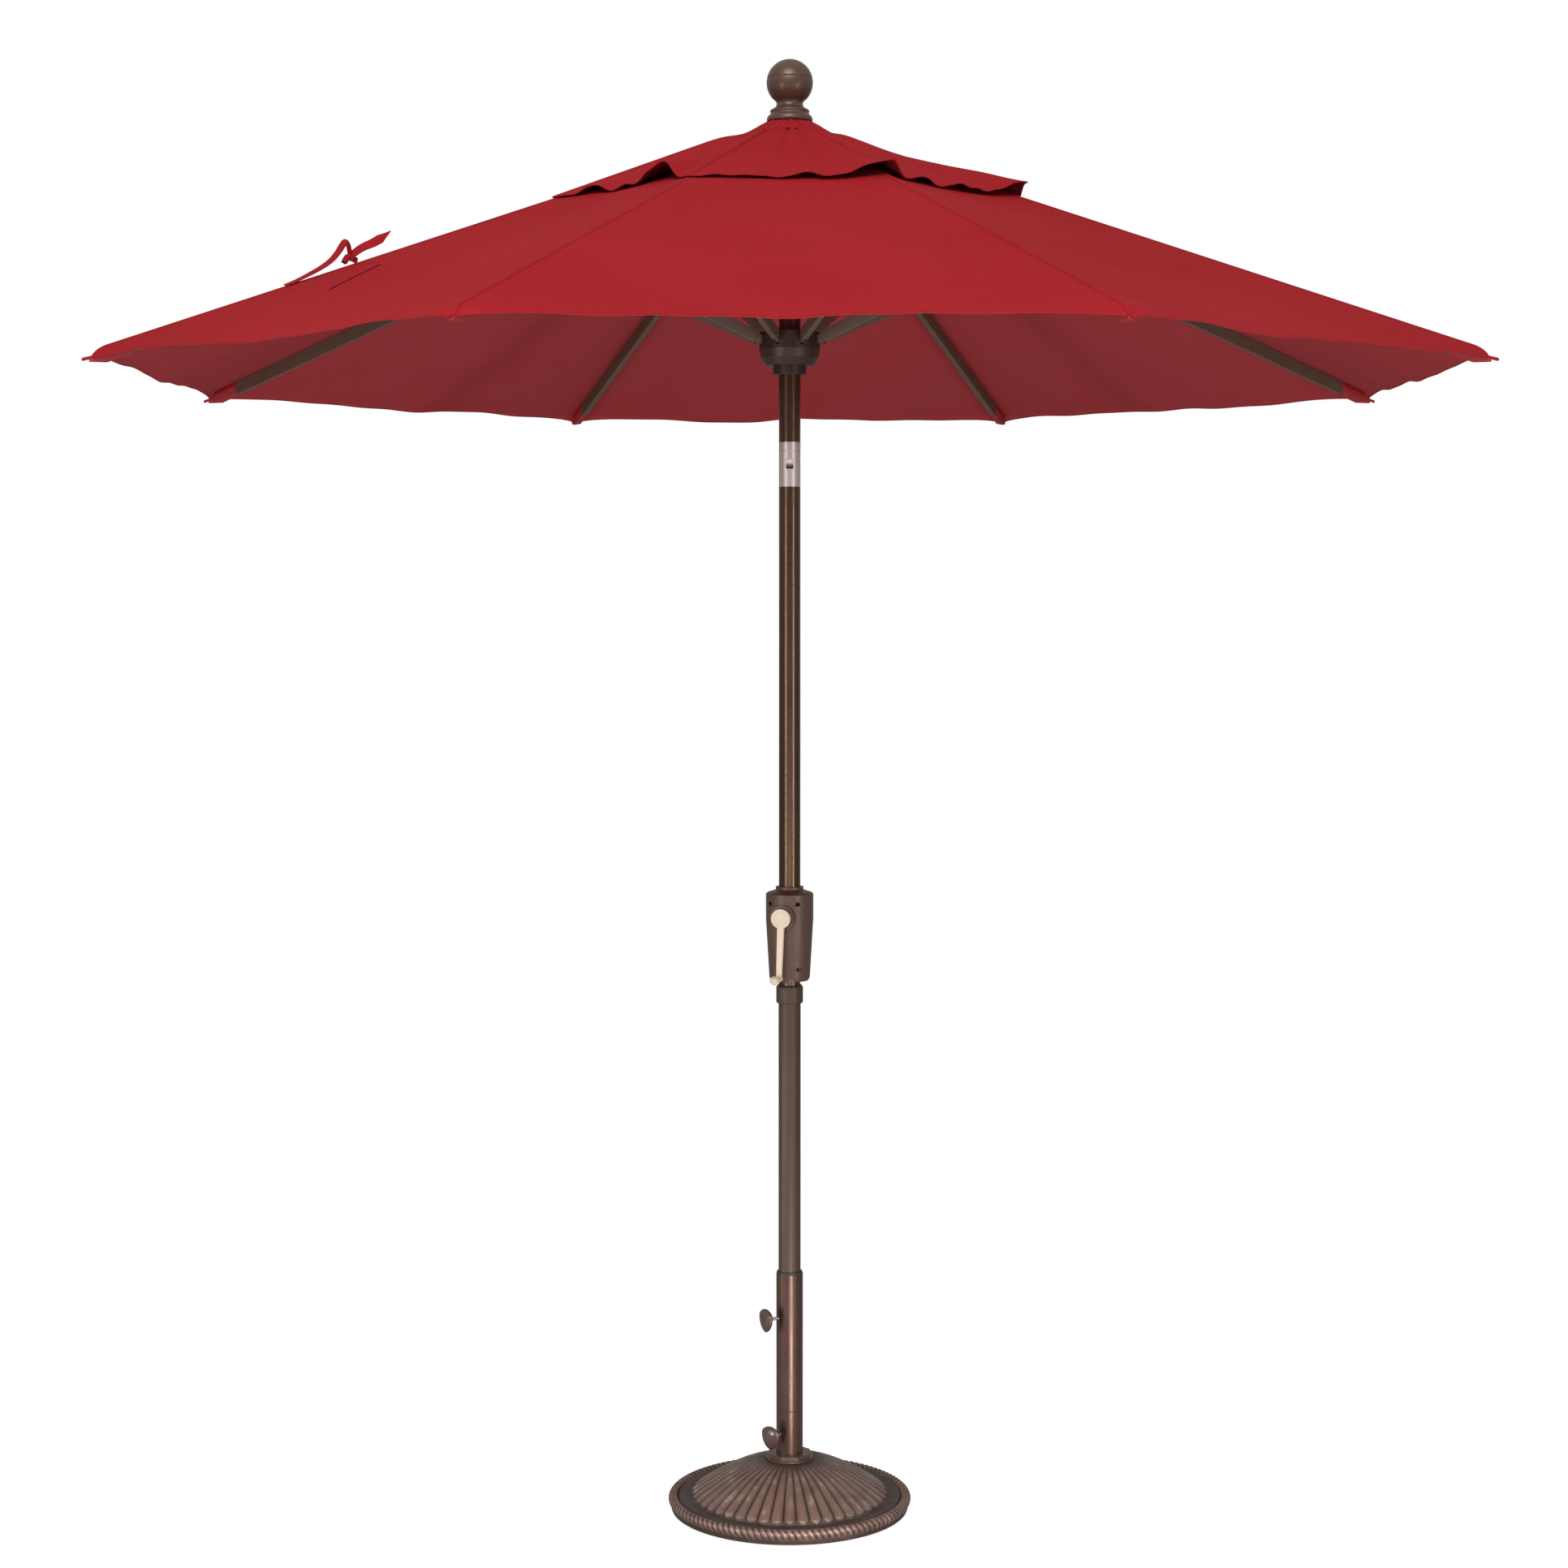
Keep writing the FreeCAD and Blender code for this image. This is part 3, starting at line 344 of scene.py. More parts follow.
@dataclass(frozen=True)
class Casting:
    """Antiqued paint on a cast relief: dark in the valleys, rubbed light on the ridges.

    The relief is the piece's own attribute, 0 in the valleys and 1 on the ridges.
    """

    name: str = "antiqued_casting"
    valley: Colour = tone(58, 43, 37)
    ridge: Colour = tone(118, 94, 84)
    bare: Colour = tone(172, 147, 133)

    def make(self) -> bpy.types.Material:
        """Build the material."""
        material, nodes, shader = new_material(self.name)
        place = nodes.add("ShaderNodeTexCoord").outputs["Object"]
        relief = nodes.add("ShaderNodeAttribute", {"attribute_name": "relief"}).outputs["Fac"]
        grain = nodes.group(EFFECTS.grain, Vector=place, Fine=420.0, Broad=30.0)
        marks = nodes.group(EFFECTS.handling, Vector=place, Patch=40.0, Line=300.0)
        dust = nodes.group(EFFECTS.dust, Vector=place)
        uneven = nodes.spread(grain.outputs["Cloud"], 0.3, 0.7, -0.12, 0.12)
        height = nodes.sum("ADD", relief, uneven)
        colour = nodes.mix(nodes.spread(height, 0.45, 1.0), self.valley, self.ridge)
        crest = nodes.sum("MULTIPLY", nodes.spread(height, 0.86, 1.05), marks.outputs["Rub"])
        colour = nodes.mix(crest, colour, self.bare)
        speck_share = nodes.spread(grain.outputs["Speck"], 0.5, 0.8, 0.0, 0.25)
        colour = nodes.mix(speck_share, colour, tone(110, 86, 76))
        hollow = nodes.spread(relief, 0.5, 0.0, 0.0, 0.16)
        colour = nodes.mix(nodes.sum("MULTIPLY", dust.outputs["Dust"], hollow), colour, tone(190, 178, 162))
        nodes.feed(shader.inputs["Base Color"], colour)
        nodes.feed(shader.inputs["Roughness"], nodes.spread(height, 0.2, 1.0, 0.62, 0.4))
        shader.inputs["Metallic"].default_value = 0.5
        bump = nodes.add("ShaderNodeBump", Height=grain.outputs["Speck"], Distance=0.0002, Strength=0.5)
        nodes.feed(shader.inputs["Normal"], bump.outputs[0])
        return material


@dataclass(frozen=True)
class Cloth:
    """Woven polyester: plain weave, slubs, cloudy fading, and rows of stitches on the piece's own UV.

    Args:
        name: The material's name.
        colour: Main colour.
        faded: Colour of the paler, sun-worn patches.
        underside_shade: Colour of the underside, where the piece's attribute `underside_shade` is 1: a more
            muted red set to match the underside as it looks in shade, painted shade on the cloth.
        thread: Colour of the sewing thread.
        rows: Distances in metres, along the UV's first axis, of the rows of stitches.
    """

    name: str
    colour: Colour = tone(156, 30, 36)
    faded: Colour = tone(168, 38, 43)
    underside_shade: Colour = tone(154, 56, 60)
    thread: Colour = tone(116, 22, 28)
    rows: tuple[float, ...] = ()

    def make(self) -> bpy.types.Material:
        """Build the material."""
        material, nodes, shader = new_material(self.name)
        cloth = nodes.add("ShaderNodeUVMap", {"uv_map": "UVMap"}).outputs[0]
        place = nodes.add("ShaderNodeTexCoord").outputs["Object"]
        weave = nodes.group(EFFECTS.weave, Vector=cloth, Threads=1400.0)
        grain = nodes.group(EFFECTS.grain, Vector=place, Fine=160.0, Broad=3.2)
        fading = nodes.spread(grain.outputs["Cloud"], 0.35, 0.68, 0.0, 0.55)
        colour = nodes.mix(fading, self.colour, self.faded)
        dark = nodes.mix(nodes.spread(weave.outputs["Slub"], 0.35, 0.7, 0.0, 0.35), colour, tone(142, 26, 32))
        # Down in the hollows between the threads the weave darkens the cloth towards a deep red: painted
        # shade of the threads.
        colour = nodes.mix(nodes.spread(weave.outputs["Height"], 0.0, 0.5, 0.25, 0.0), dark, tone(96, 14, 20))
        # The lower skin takes a muted red of its own, set to match the underside as it looks in shade:
        # painted shade.
        under = nodes.add("ShaderNodeAttribute", {"attribute_name": "underside_shade"}).outputs["Fac"]
        faded_underside_shade = nodes.mix(nodes.sum("MULTIPLY", fading, 0.4), self.underside_shade, self.faded)
        colour = nodes.mix(under, colour, faded_underside_shade)
        height = nodes.sum("ADD", weave.outputs["Height"], nodes.sum("MULTIPLY", weave.outputs["Slub"], 0.6))
        parts = nodes.add("ShaderNodeSeparateXYZ", Vector=cloth)
        for row in self.rows:
            stitch = nodes.group(EFFECTS.stitch, Across=nodes.sum("SUBTRACT", parts.outputs["X"], row),
                                 Along=parts.outputs["Y"], Pitch=0.0035)
            colour = nodes.mix(stitch.outputs["Thread"], colour, self.thread)
            height = nodes.sum("ADD", height, nodes.sum("MULTIPLY", stitch.outputs["Thread"], 2.0))
        nodes.feed(shader.inputs["Base Color"], colour)
        nodes.feed(shader.inputs["Roughness"], nodes.spread(grain.outputs["Speck"], 0.3, 0.7, 0.78, 0.9))
        shader.inputs["Specular IOR Level"].default_value = 0.05
        bump = nodes.add("ShaderNodeBump", Height=height, Distance=0.00012, Strength=0.7)
        nodes.feed(shader.inputs["Normal"], bump.outputs[0])
        return material


class Finish(Enum):
    """Every finish on the umbrella, by the record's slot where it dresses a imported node."""

    CANOPY = Cloth("canopy_cloth")
    SEAM = Cloth("seam_cloth", rows=(-0.0045, 0.0045))
    HEM = Cloth("hem_cloth", rows=(0.015,))
    # A darker red for the thin raised strip laid over one half panel.
    DARK_STRIP = Cloth("dark_strip_cloth", tone(96, 20, 26), tone(112, 28, 32))
    FRAME = Coat("frame_bronze", tone(92, 72, 59), tone(112, 90, 76), tone(118, 96, 82), metallic=0.25,
                 roughness=0.45, fine=1200.0)
    POLE = Coat("pole_bronze", tone(86, 65, 52), tone(108, 82, 66), tone(112, 88, 72), metallic=0.88,
                roughness=0.24, fine=1400.0, speckle=0.15, wear=0.12, dust=0.02)
    LOWER = Coat("lower_pole_bronze", tone(70, 52, 44), tone(86, 66, 56), tone(92, 72, 62), metallic=0.45,
                 roughness=0.48, fine=1300.0, speckle=0.25, wear=0.15, dust=0.02)
    STEM = Coat("stem_bronze", tone(84, 62, 53), tone(116, 90, 77), tone(128, 100, 87), metallic=0.8,
                roughness=0.3, fine=1500.0, speckle=0.14, peel=0.00002, wear=0.12, dust=0.02)
    CASTING = Casting()
    FLANGE = Coat("flange_bronze", tone(72, 53, 45), tone(104, 80, 69), tone(120, 94, 82), metallic=0.4,
                  roughness=0.36, fine=700.0, peel=0.00008, dust=0.04)
    HOUSING = Coat("housing_plastic", tone(82, 59, 49), tone(104, 78, 66), tone(108, 82, 70), metallic=0.3,
                   roughness=0.42, fine=1100.0, speckle=0.25, dust=0.04)
    HUB = Coat("hub_plastic", tone(54, 38, 31), tone(74, 56, 47), tone(84, 64, 54), metallic=0.4,
               roughness=0.44, fine=900.0, speckle=0.2, wear=0.12, dust=0.03)
    FINIAL = Coat("finial_bronze", tone(94, 70, 60), tone(116, 92, 80), tone(124, 100, 88), metallic=0.4,
                  roughness=0.36, fine=800.0, speckle=0.25, dust=0.02)
    KNOB = Coat("knob_bronze", tone(60, 42, 38), tone(86, 64, 58), tone(98, 76, 70), roughness=0.32,
                fine=700.0, speckle=0.18, dust=0.03, coat=0.2)
    CREAM = Coat("cream_plastic", tone(212, 191, 170), tone(202, 180, 158), tone(194, 170, 146),
                 roughness=0.42, fine=600.0, speckle=0.3, wear=0.15, dust=0.0)
    DARK = Coat("dark_plastic", tone(34, 28, 26), tone(52, 46, 42), tone(60, 54, 50),
                roughness=0.5, dust=0.02)
    RUBBER = Coat("foot_rubber", tone(28, 28, 28), tone(52, 50, 48), tone(60, 58, 55), roughness=0.8,
                  fine=500.0, peel=0.00015, dust=0.3)
    BALLAST = Coat("cast_ballast", tone(118, 114, 108), tone(150, 144, 136), tone(92, 88, 84), roughness=0.85,
                   fine=260.0, speckle=0.6, peel=0.0005, dust=0.2)
    SILVER = Coat("satin_silver", tone(204, 193, 187), tone(216, 208, 203), tone(150, 138, 130), metallic=0.8,
                  roughness=0.38, fine=900.0, speckle=0.3, dust=0.02)
    ALUMINIUM = TurnedMetal("mill_aluminium", tone(182, 182, 184), tone(140, 140, 142), 0.34)
    STEEL = TurnedMetal("plated_steel", tone(206, 206, 208), tone(150, 148, 142), 0.24, (40.0, 40.0, 900.0))


MATERIALS: dict[Finish, bpy.types.Material] = {}


def material_of(finish: Finish) -> bpy.types.Material:
    """The finish's material, built the first time it is wanted."""
    if finish not in MATERIALS:
        MATERIALS[finish] = finish.value.make()
    return MATERIALS[finish]


SLOT_FINISH = {
    "frame_bronze": Finish.FRAME, "stem_bronze": Finish.STEM, "base_bronze": Finish.FLANGE,
    "ballast": Finish.BALLAST, "rubber": Finish.RUBBER, "housing_plastic": Finish.HOUSING,
    "hub_plastic": Finish.HUB, "finial_bronze": Finish.FINIAL, "knob_bronze": Finish.KNOB,
    "cream_plastic": Finish.CREAM, "dark_plastic": Finish.DARK, "tilt_silver": Finish.SILVER,
    "bare_aluminium": Finish.ALUMINIUM, "bright_steel": Finish.STEEL, "canopy_fabric": Finish.CANOPY,
}


NODE_FINISH = {
    "main_pole": Finish.POLE, "upper_mast": Finish.POLE, "lower_pole": Finish.LOWER,
    "pole_joint_collar": Finish.LOWER, "housing_screws": Finish.DARK,
}


# ---------------------------------------------------------------- meshes from whole arrays

def grid_faces(rows: int, columns: int, ring: bool = False) -> NDArray[np.int32]:
    """Four-sided faces of a grid stored row after row.

    The face at row r and column c joins the points (r, c), (r, c+1), (r+1, c+1), (r+1, c).

    Args:
        rows: Points along the first parameter.
        columns: Points along the second parameter.
        ring: Whether the last column joins the first.

    Returns:
        The faces as rows of four point numbers.
    """
    row, column = np.meshgrid(np.arange(rows - 1), np.arange(columns if ring else columns - 1), indexing="ij")
    start, beside = row * columns + column, row * columns + (column + 1) % columns
    corners = np.stack([start, beside, beside + columns, start + columns], axis=-1)
    return corners.reshape(-1, 4).astype(np.int32)


@dataclass
class Look:
    """A new piece's body, slot and finish, and what it stands for."""

    body: str
    slot: str
    finish: Finish
    stands_for: tuple[str, ...] = ()


def new_piece(name: str, points: Array, faces: NDArray[np.int32], look: Look, uv: Array | None = None,
              mask: tuple[str, Array] | None = None, weld: bool = False) -> bpy.types.Object:
    """Put whole arrays into a mesh object at the origin and file it.

    Args:
        name: The piece's name.
        points: Point coordinates, in rows of three.
        faces: Faces of four points each.
        look: Body, slot, finish and replaced nodes.
        uv: A UV in metres for each point.
        mask: An attribute's name and its value from 0 to 1 for each point.
        weld: Whether doubled points are merged and the faces turned outwards.

    Returns:
        The new object.
    """
    mesh = bpy.data.meshes.new(name)
    mesh.vertices.add(len(points))
    mesh.vertices.foreach_set("co", points.astype(np.float32).ravel())
    mesh.loops.add(faces.size)
    mesh.loops.foreach_set("vertex_index", faces.ravel())
    mesh.polygons.add(len(faces))
    mesh.polygons.foreach_set("loop_start", np.arange(0, faces.size, faces.shape[1], dtype=np.int32))
    mesh.polygons.foreach_set("use_smooth", np.ones(len(faces), dtype=bool))
    if uv is not None:
        layer = mesh.uv_layers.new(name="UVMap")
        layer.data.foreach_set("uv", uv[faces.ravel()].astype(np.float32).ravel())
    if mask is not None:
        mesh.attributes.new(mask[0], "FLOAT", "POINT").data.foreach_set("value", mask[1].astype(np.float32))
    mesh.update(calc_edges=True)
    if weld:
        work = bmesh.new()
        work.from_mesh(mesh)
        bmesh.ops.remove_doubles(work, verts=work.verts, dist=1e-6)
        bmesh.ops.recalc_face_normals(work, faces=work.faces)
        work.to_mesh(mesh)
        work.free()
    mesh.set_sharp_from_angle(angle=SHARP)
    mesh.materials.append(material_of(look.finish))
    piece = bpy.data.objects.new(name, mesh)
    bpy.context.scene.collection.objects.link(piece)
    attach(piece, look.body)
    if look.stands_for:
        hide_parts(*look.stands_for)
    LOG.info("%s on %s: %d points", name, look.body, len(mesh.vertices))
    return piece


def shell(top: Array, wall: float) -> tuple[Array, NDArray[np.int32], Array]:
    """A thin closed shell: a grid of points, the same grid lowered by the wall, and strips round the edge.

    Args:
        top: Points of the upper skin, as rows by columns by three.
        wall: How far below it the lower skin lies.

    Returns:
        Points, faces that point outwards where the grid's columns turn left into its rows, and a
        mask that is 1 on the lower skin.
    """
    rows, columns = top.shape[:2]
    count = rows * columns
    points = np.concatenate([top.reshape(-1, 3), top.reshape(-1, 3) - np.array([0, 0, wall])])
    upper = grid_faces(rows, columns)
    number = np.arange(count).reshape(rows, columns)
    edge = np.concatenate([number[0, :-1], number[:-1, -1], number[-1, :0:-1], number[:0:-1, 0]])
    after = np.roll(edge, -1)
    strips = np.stack([after, edge, edge + count, after + count], axis=-1)
    faces = np.concatenate([upper, upper[:, ::-1] + count, strips]).astype(np.int32)
    return points, faces, np.repeat([0.0, 1.0], count)


def unit(vectors: Array) -> Array:
    """The same directions at length one."""
    return vectors / np.linalg.norm(vectors, axis=-1, keepdims=True)


def smooth_line(points: Array, count: int) -> Array:
    """Points on the quadratic spline of some control points, held at both ends.

    Each stretch runs from the middle of one leg to the middle of the next, and its height above the
    two middles is (1-t)^2 of the first, 2t(1-t) of the corner between them and t^2 of the last.

    Args:
        points: Control points, in rows.
        count: Points wanted on each stretch.

    Returns:
        The line's points, in rows.
    """
    middles = (points[:-1] + points[1:]) / 2
    starts = np.concatenate([points[:1], middles[1:-1]])
    ends = np.concatenate([middles[1:-1], points[-1:]])
    share = np.linspace(0, 1, count, endpoint=False)[None, :, None]
    corners = points[1:-1][:, None]
    line = (1 - share) ** 2 * starts[:, None] + 2 * share * (1 - share) * corners + share ** 2 * ends[:, None]
    return np.concatenate([line.reshape(-1, points.shape[1]), points[-1:]])


def sweep(path: Array, across: Array, above: Array, profile: Array) -> tuple[Array, NDArray[np.int32], Array]:
    """A closed profile carried along a path, with both ends drawn together.

    The point at station s and profile corner c is path(s) + across(s) * width(s, c) +
    above(s) * height(s, c).

    Args:
        path: Points along the path, in rows.
        across: Unit directions of the profile's first axis, one a station.
        above: Unit directions of its second axis, one a station.
        profile: Corners (width, height), one loop for all stations or one loop a station.

    Returns:
        Points, faces and a UV that holds the width and the distance along the path.
    """
    profile = np.broadcast_to(profile, (len(path), *profile.shape[-2:]))
    body = path[:, None] + across[:, None] * profile[..., :1] + above[:, None] * profile[..., 1:]
    ends = [np.broadcast_to(body[place].mean(axis=0), body[place].shape)[None] for place in (0, -1)]
    points = np.concatenate([ends[0], body, ends[1]])
    run = np.concatenate([[0.0], np.cumsum(np.linalg.norm(np.diff(path, axis=0), axis=1))])
    run = np.concatenate([run[:1], run, run[-1:]])
    width = np.concatenate([profile[:1, :, 0], profile[..., 0], profile[-1:, :, 0]])
    uv = np.stack([width, np.broadcast_to(run[:, None], width.shape)], axis=-1)
    faces = grid_faces(len(points), profile.shape[1], ring=True)
    return points.reshape(-1, 3), faces, uv.reshape(-1, 2)


def rounded(half_wide: float, half_tall: float, corners: int = 24, power: float = 4.0) -> Array:
    """A rounded rectangle: width and height follow |w|^p + |h|^p = 1 round the full turn."""
    turn = np.linspace(0, 2 * math.pi, corners, endpoint=False)
    wide = np.sign(np.cos(turn)) * np.abs(np.cos(turn)) ** (2 / power)
    tall = np.sign(np.sin(turn)) * np.abs(np.sin(turn)) ** (2 / power)
    return np.stack([half_wide * wide, half_tall * tall], axis=-1)


# ---------------------------------------------------------------- the canopy

class Side(Enum):
    """Which way from its rib a half panel reaches, seen from above."""

    CLOCKWISE = -1
    COUNTER = 1


@dataclass(frozen=True)
class Lift:
    """A stretch of rim that blows up: azimuths in degrees where it starts, peaks and ends, and its height."""

    start: float
    peak: float
    end: float
    height: float

    def at(self, azimuth: Array) -> Array:
        """Smooth rise from start to peak and smooth fall to end, of the given height."""
        rise = np.clip((azimuth - self.start) / (self.peak - self.start), 0, 1)
        fall = np.clip((self.end - azimuth) / (self.end - self.peak), 0, 1)
        share = np.minimum(rise, fall)
        return self.height * share * share * (3 - 2 * share)


@dataclass(frozen=True)
class Swell:
    """A soft rise or dent of the cloth, with its middle at an azimuth in degrees and a radius.

    Args:
        azimuth: Azimuth of its middle, in degrees.
        radius: Radius of its middle.
        height: Its height, or its depth below zero.
        turn: How far it reaches sideways, in degrees.
        reach: How far it reaches in and out.
    """

    azimuth: float
    radius: float
    height: float
    turn: float
    reach: float

    def at(self, azimuth: Array, radius: Array) -> Array:
        """The height times a bell curve of the turn and one of the distance from its middle."""
        away = (azimuth - self.azimuth + 180) % 360 - 180
        return self.height * np.exp(-(away / self.turn) ** 2 - ((radius - self.radius) / self.reach) ** 2)


@dataclass(frozen=True)
class Cover:
    """One layer of cloth over the eight ribs.

    Args:
        name: Start of its pieces' names.
        inner: Radius of its top edge over the ribs.
        outer: Radius of its rim over the ribs.
        top: Height of the top edge.
        rim: Height of the rim at the ribs.
        scallop: How far the rim pulls in halfway between two ribs.
        sag: How far the cloth hangs below the straight line between two ribs.
        ripple: Height of the broad waves.
        crease: Height of the narrow wrinkles that radiate from the top.
        flutter: Height of the waves along the rim.
        keep: The share of its width left when the ribs are folded. It is not used.
        rows: Points from top to rim.
        columns: Points from rib to middle.
        hem: Width of the turned hem.
        lifts: Stretches of the rim that stand up.
        swells: Soft rises and dents elsewhere.
        belly: How much more the rim hangs halfway between two ribs.
        belly_from: Radius where that begins.
        wrap: How far the cloth turns down round a rib's end.
        wrap_length: How far inside the rim that begins.
    """

    name: str
    inner: float
    outer: float
    top: float
    rim: float
    scallop: float
    sag: float
    ripple: float
    crease: float
    flutter: float
    keep: float
    rows: int
    columns: int
    hem: float
    lifts: tuple[Lift, ...] = ()
    swells: tuple[Swell, ...] = ()
    belly: float = 0.0
    belly_from: float = 0.6
    wrap: float = 0.0
    wrap_length: float = 0.03

    def height(self, radius: Array | float) -> Array | float:
        """The straight line over a rib, from the top edge to the rim."""
        return self.rim + (self.outer - radius) * (self.top - self.rim) / (self.outer - self.inner)

    def stations(self) -> Array:
        """Rows from the top edge to the rim, closer together over the last twentieth."""
        upper = np.linspace(0, 0.95, self.rows - 14, endpoint=False)
        return np.concatenate([upper, np.linspace(0.95, 1, 14)])


@dataclass
class Canopy:
    """Eight sewn gores over eight ribs, a vent cover over their open top, and what is sewn to them.

    The pocket and the plug lie along a rib, from their start in the radius outwards. The thin dark strip runs
    over a half panel, and its two fields hold where each parameter of the surface starts and how far it runs.
    """

    ribs: int = 8
    first_azimuth: float = math.radians(22.5)
    slope: float = math.radians(19.95)
    cloth: float = 0.0009
    lean: float = math.radians(-20.0)
    seam_width: float = 0.0070
    rib_end: float = 1.272
    pocket_start: float = 1.232
    pocket_end: float = 1.302
    pocket_cloth_end: float = 1.2999
    pocket_depth: float = 0.0300
    pocket_half_width: float = 0.0076
    plug_start: float = 1.296
    plug_length: float = 0.020
    plug_height: float = 2.1785
    plug_fall: float = 0.005
    plug_radius: float = 0.0030
    strap_rib: int = 5
    dark_strip_along: tuple[float, float] = (0.579, 0.138)
    dark_strip_out: tuple[float, float] = (0.3205, 0.1615)
    main: Cover = Cover("gore", 0.26, 1.3, 2.5675, 2.190, scallop=0.019, sag=0.009, ripple=0.0022,
                        crease=0.0, flutter=0.0018, keep=0.16, rows=66, columns=34, hem=0.018,
                        belly=0.015, belly_from=0.64, wrap=0.0165, wrap_length=0.028,
                        swells=(Swell(351.0, 0.26, -0.012, 10.0, 0.09),))
    vent: Cover = Cover("vent", 0.046, 0.468, 2.660, 2.4965, scallop=0.010, sag=0.004, ripple=0.0012,
                        crease=0.0018, flutter=0.003, keep=0.38, rows=48, columns=26, hem=0.012,
                        lifts=(Lift(209.0, 216.0, 222.0, 0.008), Lift(228.0, 240.5, 245.5, 0.030),
                               Lift(266.0, 270.0, 275.0, 0.004), Lift(278.0, 292.5, 296.5, 0.028),
                               Lift(299.0, 304.0, 308.0, 0.008), Lift(313.0, 317.0, 321.0, 0.007),
                               Lift(323.0, 338.0, 352.0, 0.026), Lift(40.0, 55.0, 62.0, 0.010),
                               Lift(100.0, 118.0, 124.0, 0.012), Lift(160.0, 170.0, 178.0, 0.006)),
                        swells=(Swell(0.0, 0.090, -0.009, 1000.0, 0.035),
                                Swell(352.0, 0.195, -0.028, 13.0, 0.08),
                                Swell(350.0, 0.385, 0.010, 14.0, 0.06)))

    @property
    def half(self) -> float:
        """The angle from a rib to the middle of a panel."""
        return math.pi / self.ribs

    def azimuth(self, rib: int) -> float:
        """The direction of a rib, numbered from 1."""
        return self.first_azimuth + (rib - 1) * 2 * self.half

    def directions(self, rib: int) -> tuple[Array, Array]:
        """Unit vectors of a rib: sideways, and upwards square to its line."""
        turn, slope = self.azimuth(rib), self.slope
        level = np.array([math.cos(turn), math.sin(turn), 0.0])
        above = level * math.sin(slope) + np.array([0, 0, math.cos(slope)])
        return np.array([-math.sin(turn), math.cos(turn), 0.0]), above

    def surface(self, cover: Cover, rib: int, side: Side, along: Array, out: Array,
                loose: float = 1.0) -> Array:
        """Points of a half panel.

        `along` runs from 0 at the top edge to 1 at the rim, and `out` from 0 on the rib to 1 halfway to
        the next. Each point lies on the chord between a rib's line and the middle of the panel at one
        radius. The rim pulls in by the scallop, and the cloth hangs by the sag, each times
        1 - (1 - out)^2. Waves of position are added, which both halves of a panel share. Over a rib's end
        the cloth turns down by the wrap times one minus a quarter circle, which fades beside the rib.

        Args:
            cover: The layer of cloth.
            rib: The rib's number.
            side: The side of the rib.
            along: Parameter from top to rim.
            out: Parameter from rib to middle.
            loose: 1 for the hanging cloth, 0 for its flat cut.

        Returns:
            Coordinates, with a last axis of three.
        """
        middle = self.azimuth(rib) + side.value * self.half
        bow = 1 - (1 - out) ** 2
        radius = cover.inner + along * (cover.outer - cover.scallop * bow - cover.inner)
        away, beside = radius * math.cos(self.half), radius * math.sin(self.half) * (1 - out) * side.value
        x = away * math.cos(middle) + beside * math.sin(middle)
        y = away * math.sin(middle) - beside * math.cos(middle)
        turn = np.arctan2(y, x)
        hang = cover.sag * bow * (0.3 + 0.7 * np.sin(math.pi * np.minimum(along * 0.92, 1)))
        low = np.clip((radius - cover.belly_from) / (cover.outer - cover.belly_from), 0, 1)
        end = np.clip((radius - cover.outer) / cover.wrap_length + 1, 0, 1)
        hang += cover.belly * bow * low ** 1.5 + cover.wrap * (1 - bow) ** 2 * (1 - np.sqrt(1 - end * end))
        wave = (np.sin(8.3 * x - 5.1 * y + 0.7) + 0.7 * np.sin(13.7 * x + 9.1 * y + 2.1)
                + 0.45 * np.sin(27.0 * y - 17.0 * x + 0.3)) * cover.ripple * bow
        creases = (np.sin(37 * turn + 0.8) + 0.8 * np.sin(61 * turn + 3 * radius + 2.2)
                   + 0.6 * np.sin(23 * turn + 5.1)) * cover.crease * bow * (1 - along * 0.45)
        rim_waves = (np.sin(17 * turn + 1.3) + 0.7 * np.sin(29 * turn + 0.4) + 0.5 * np.sin(53 * turn)) \
            * cover.flutter * bow * along ** 5
        degrees = np.degrees(turn) % 360
        lifted = sum((lift.at(degrees) for lift in cover.lifts), np.zeros_like(turn)) * along ** 4
        lifted = lifted + sum((swell.at(degrees, radius) for swell in cover.swells), np.zeros_like(turn))
        z = cover.height(radius) + loose * (wave + creases + rim_waves + lifted - hang)
        return np.stack([x, y, z], axis=-1)

    def fold(self, piece: bpy.types.Object, cover: Cover, rib: int) -> None:
        """Give a piece a mesh of its own."""
        sideways, above = self.directions(rib)
        level = np.array([math.cos(self.azimuth(rib)), math.sin(self.azimuth(rib)), 0.0]) * cover.outer
        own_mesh(piece)

    def half_panel(self, cover: Cover, rib: int, side: Side, stands_for: str) -> bpy.types.Object:
        """One half panel with its hem, sewn to a rib."""
        tag = f"{cover.name}_{rib}_{side.name.lower()}"
        along, out = np.meshgrid(cover.stations(), np.linspace(0, 1, cover.columns), indexing="ij")
        points = self.surface(cover, rib, side, along, out)
        flat = self.surface(cover, rib, side, along, out, loose=0.0)
        # The lower skin is marked to take the underside's colour, painted shade.
        skin, faces, underside_shade = shell(points, self.cloth / math.cos(self.slope))
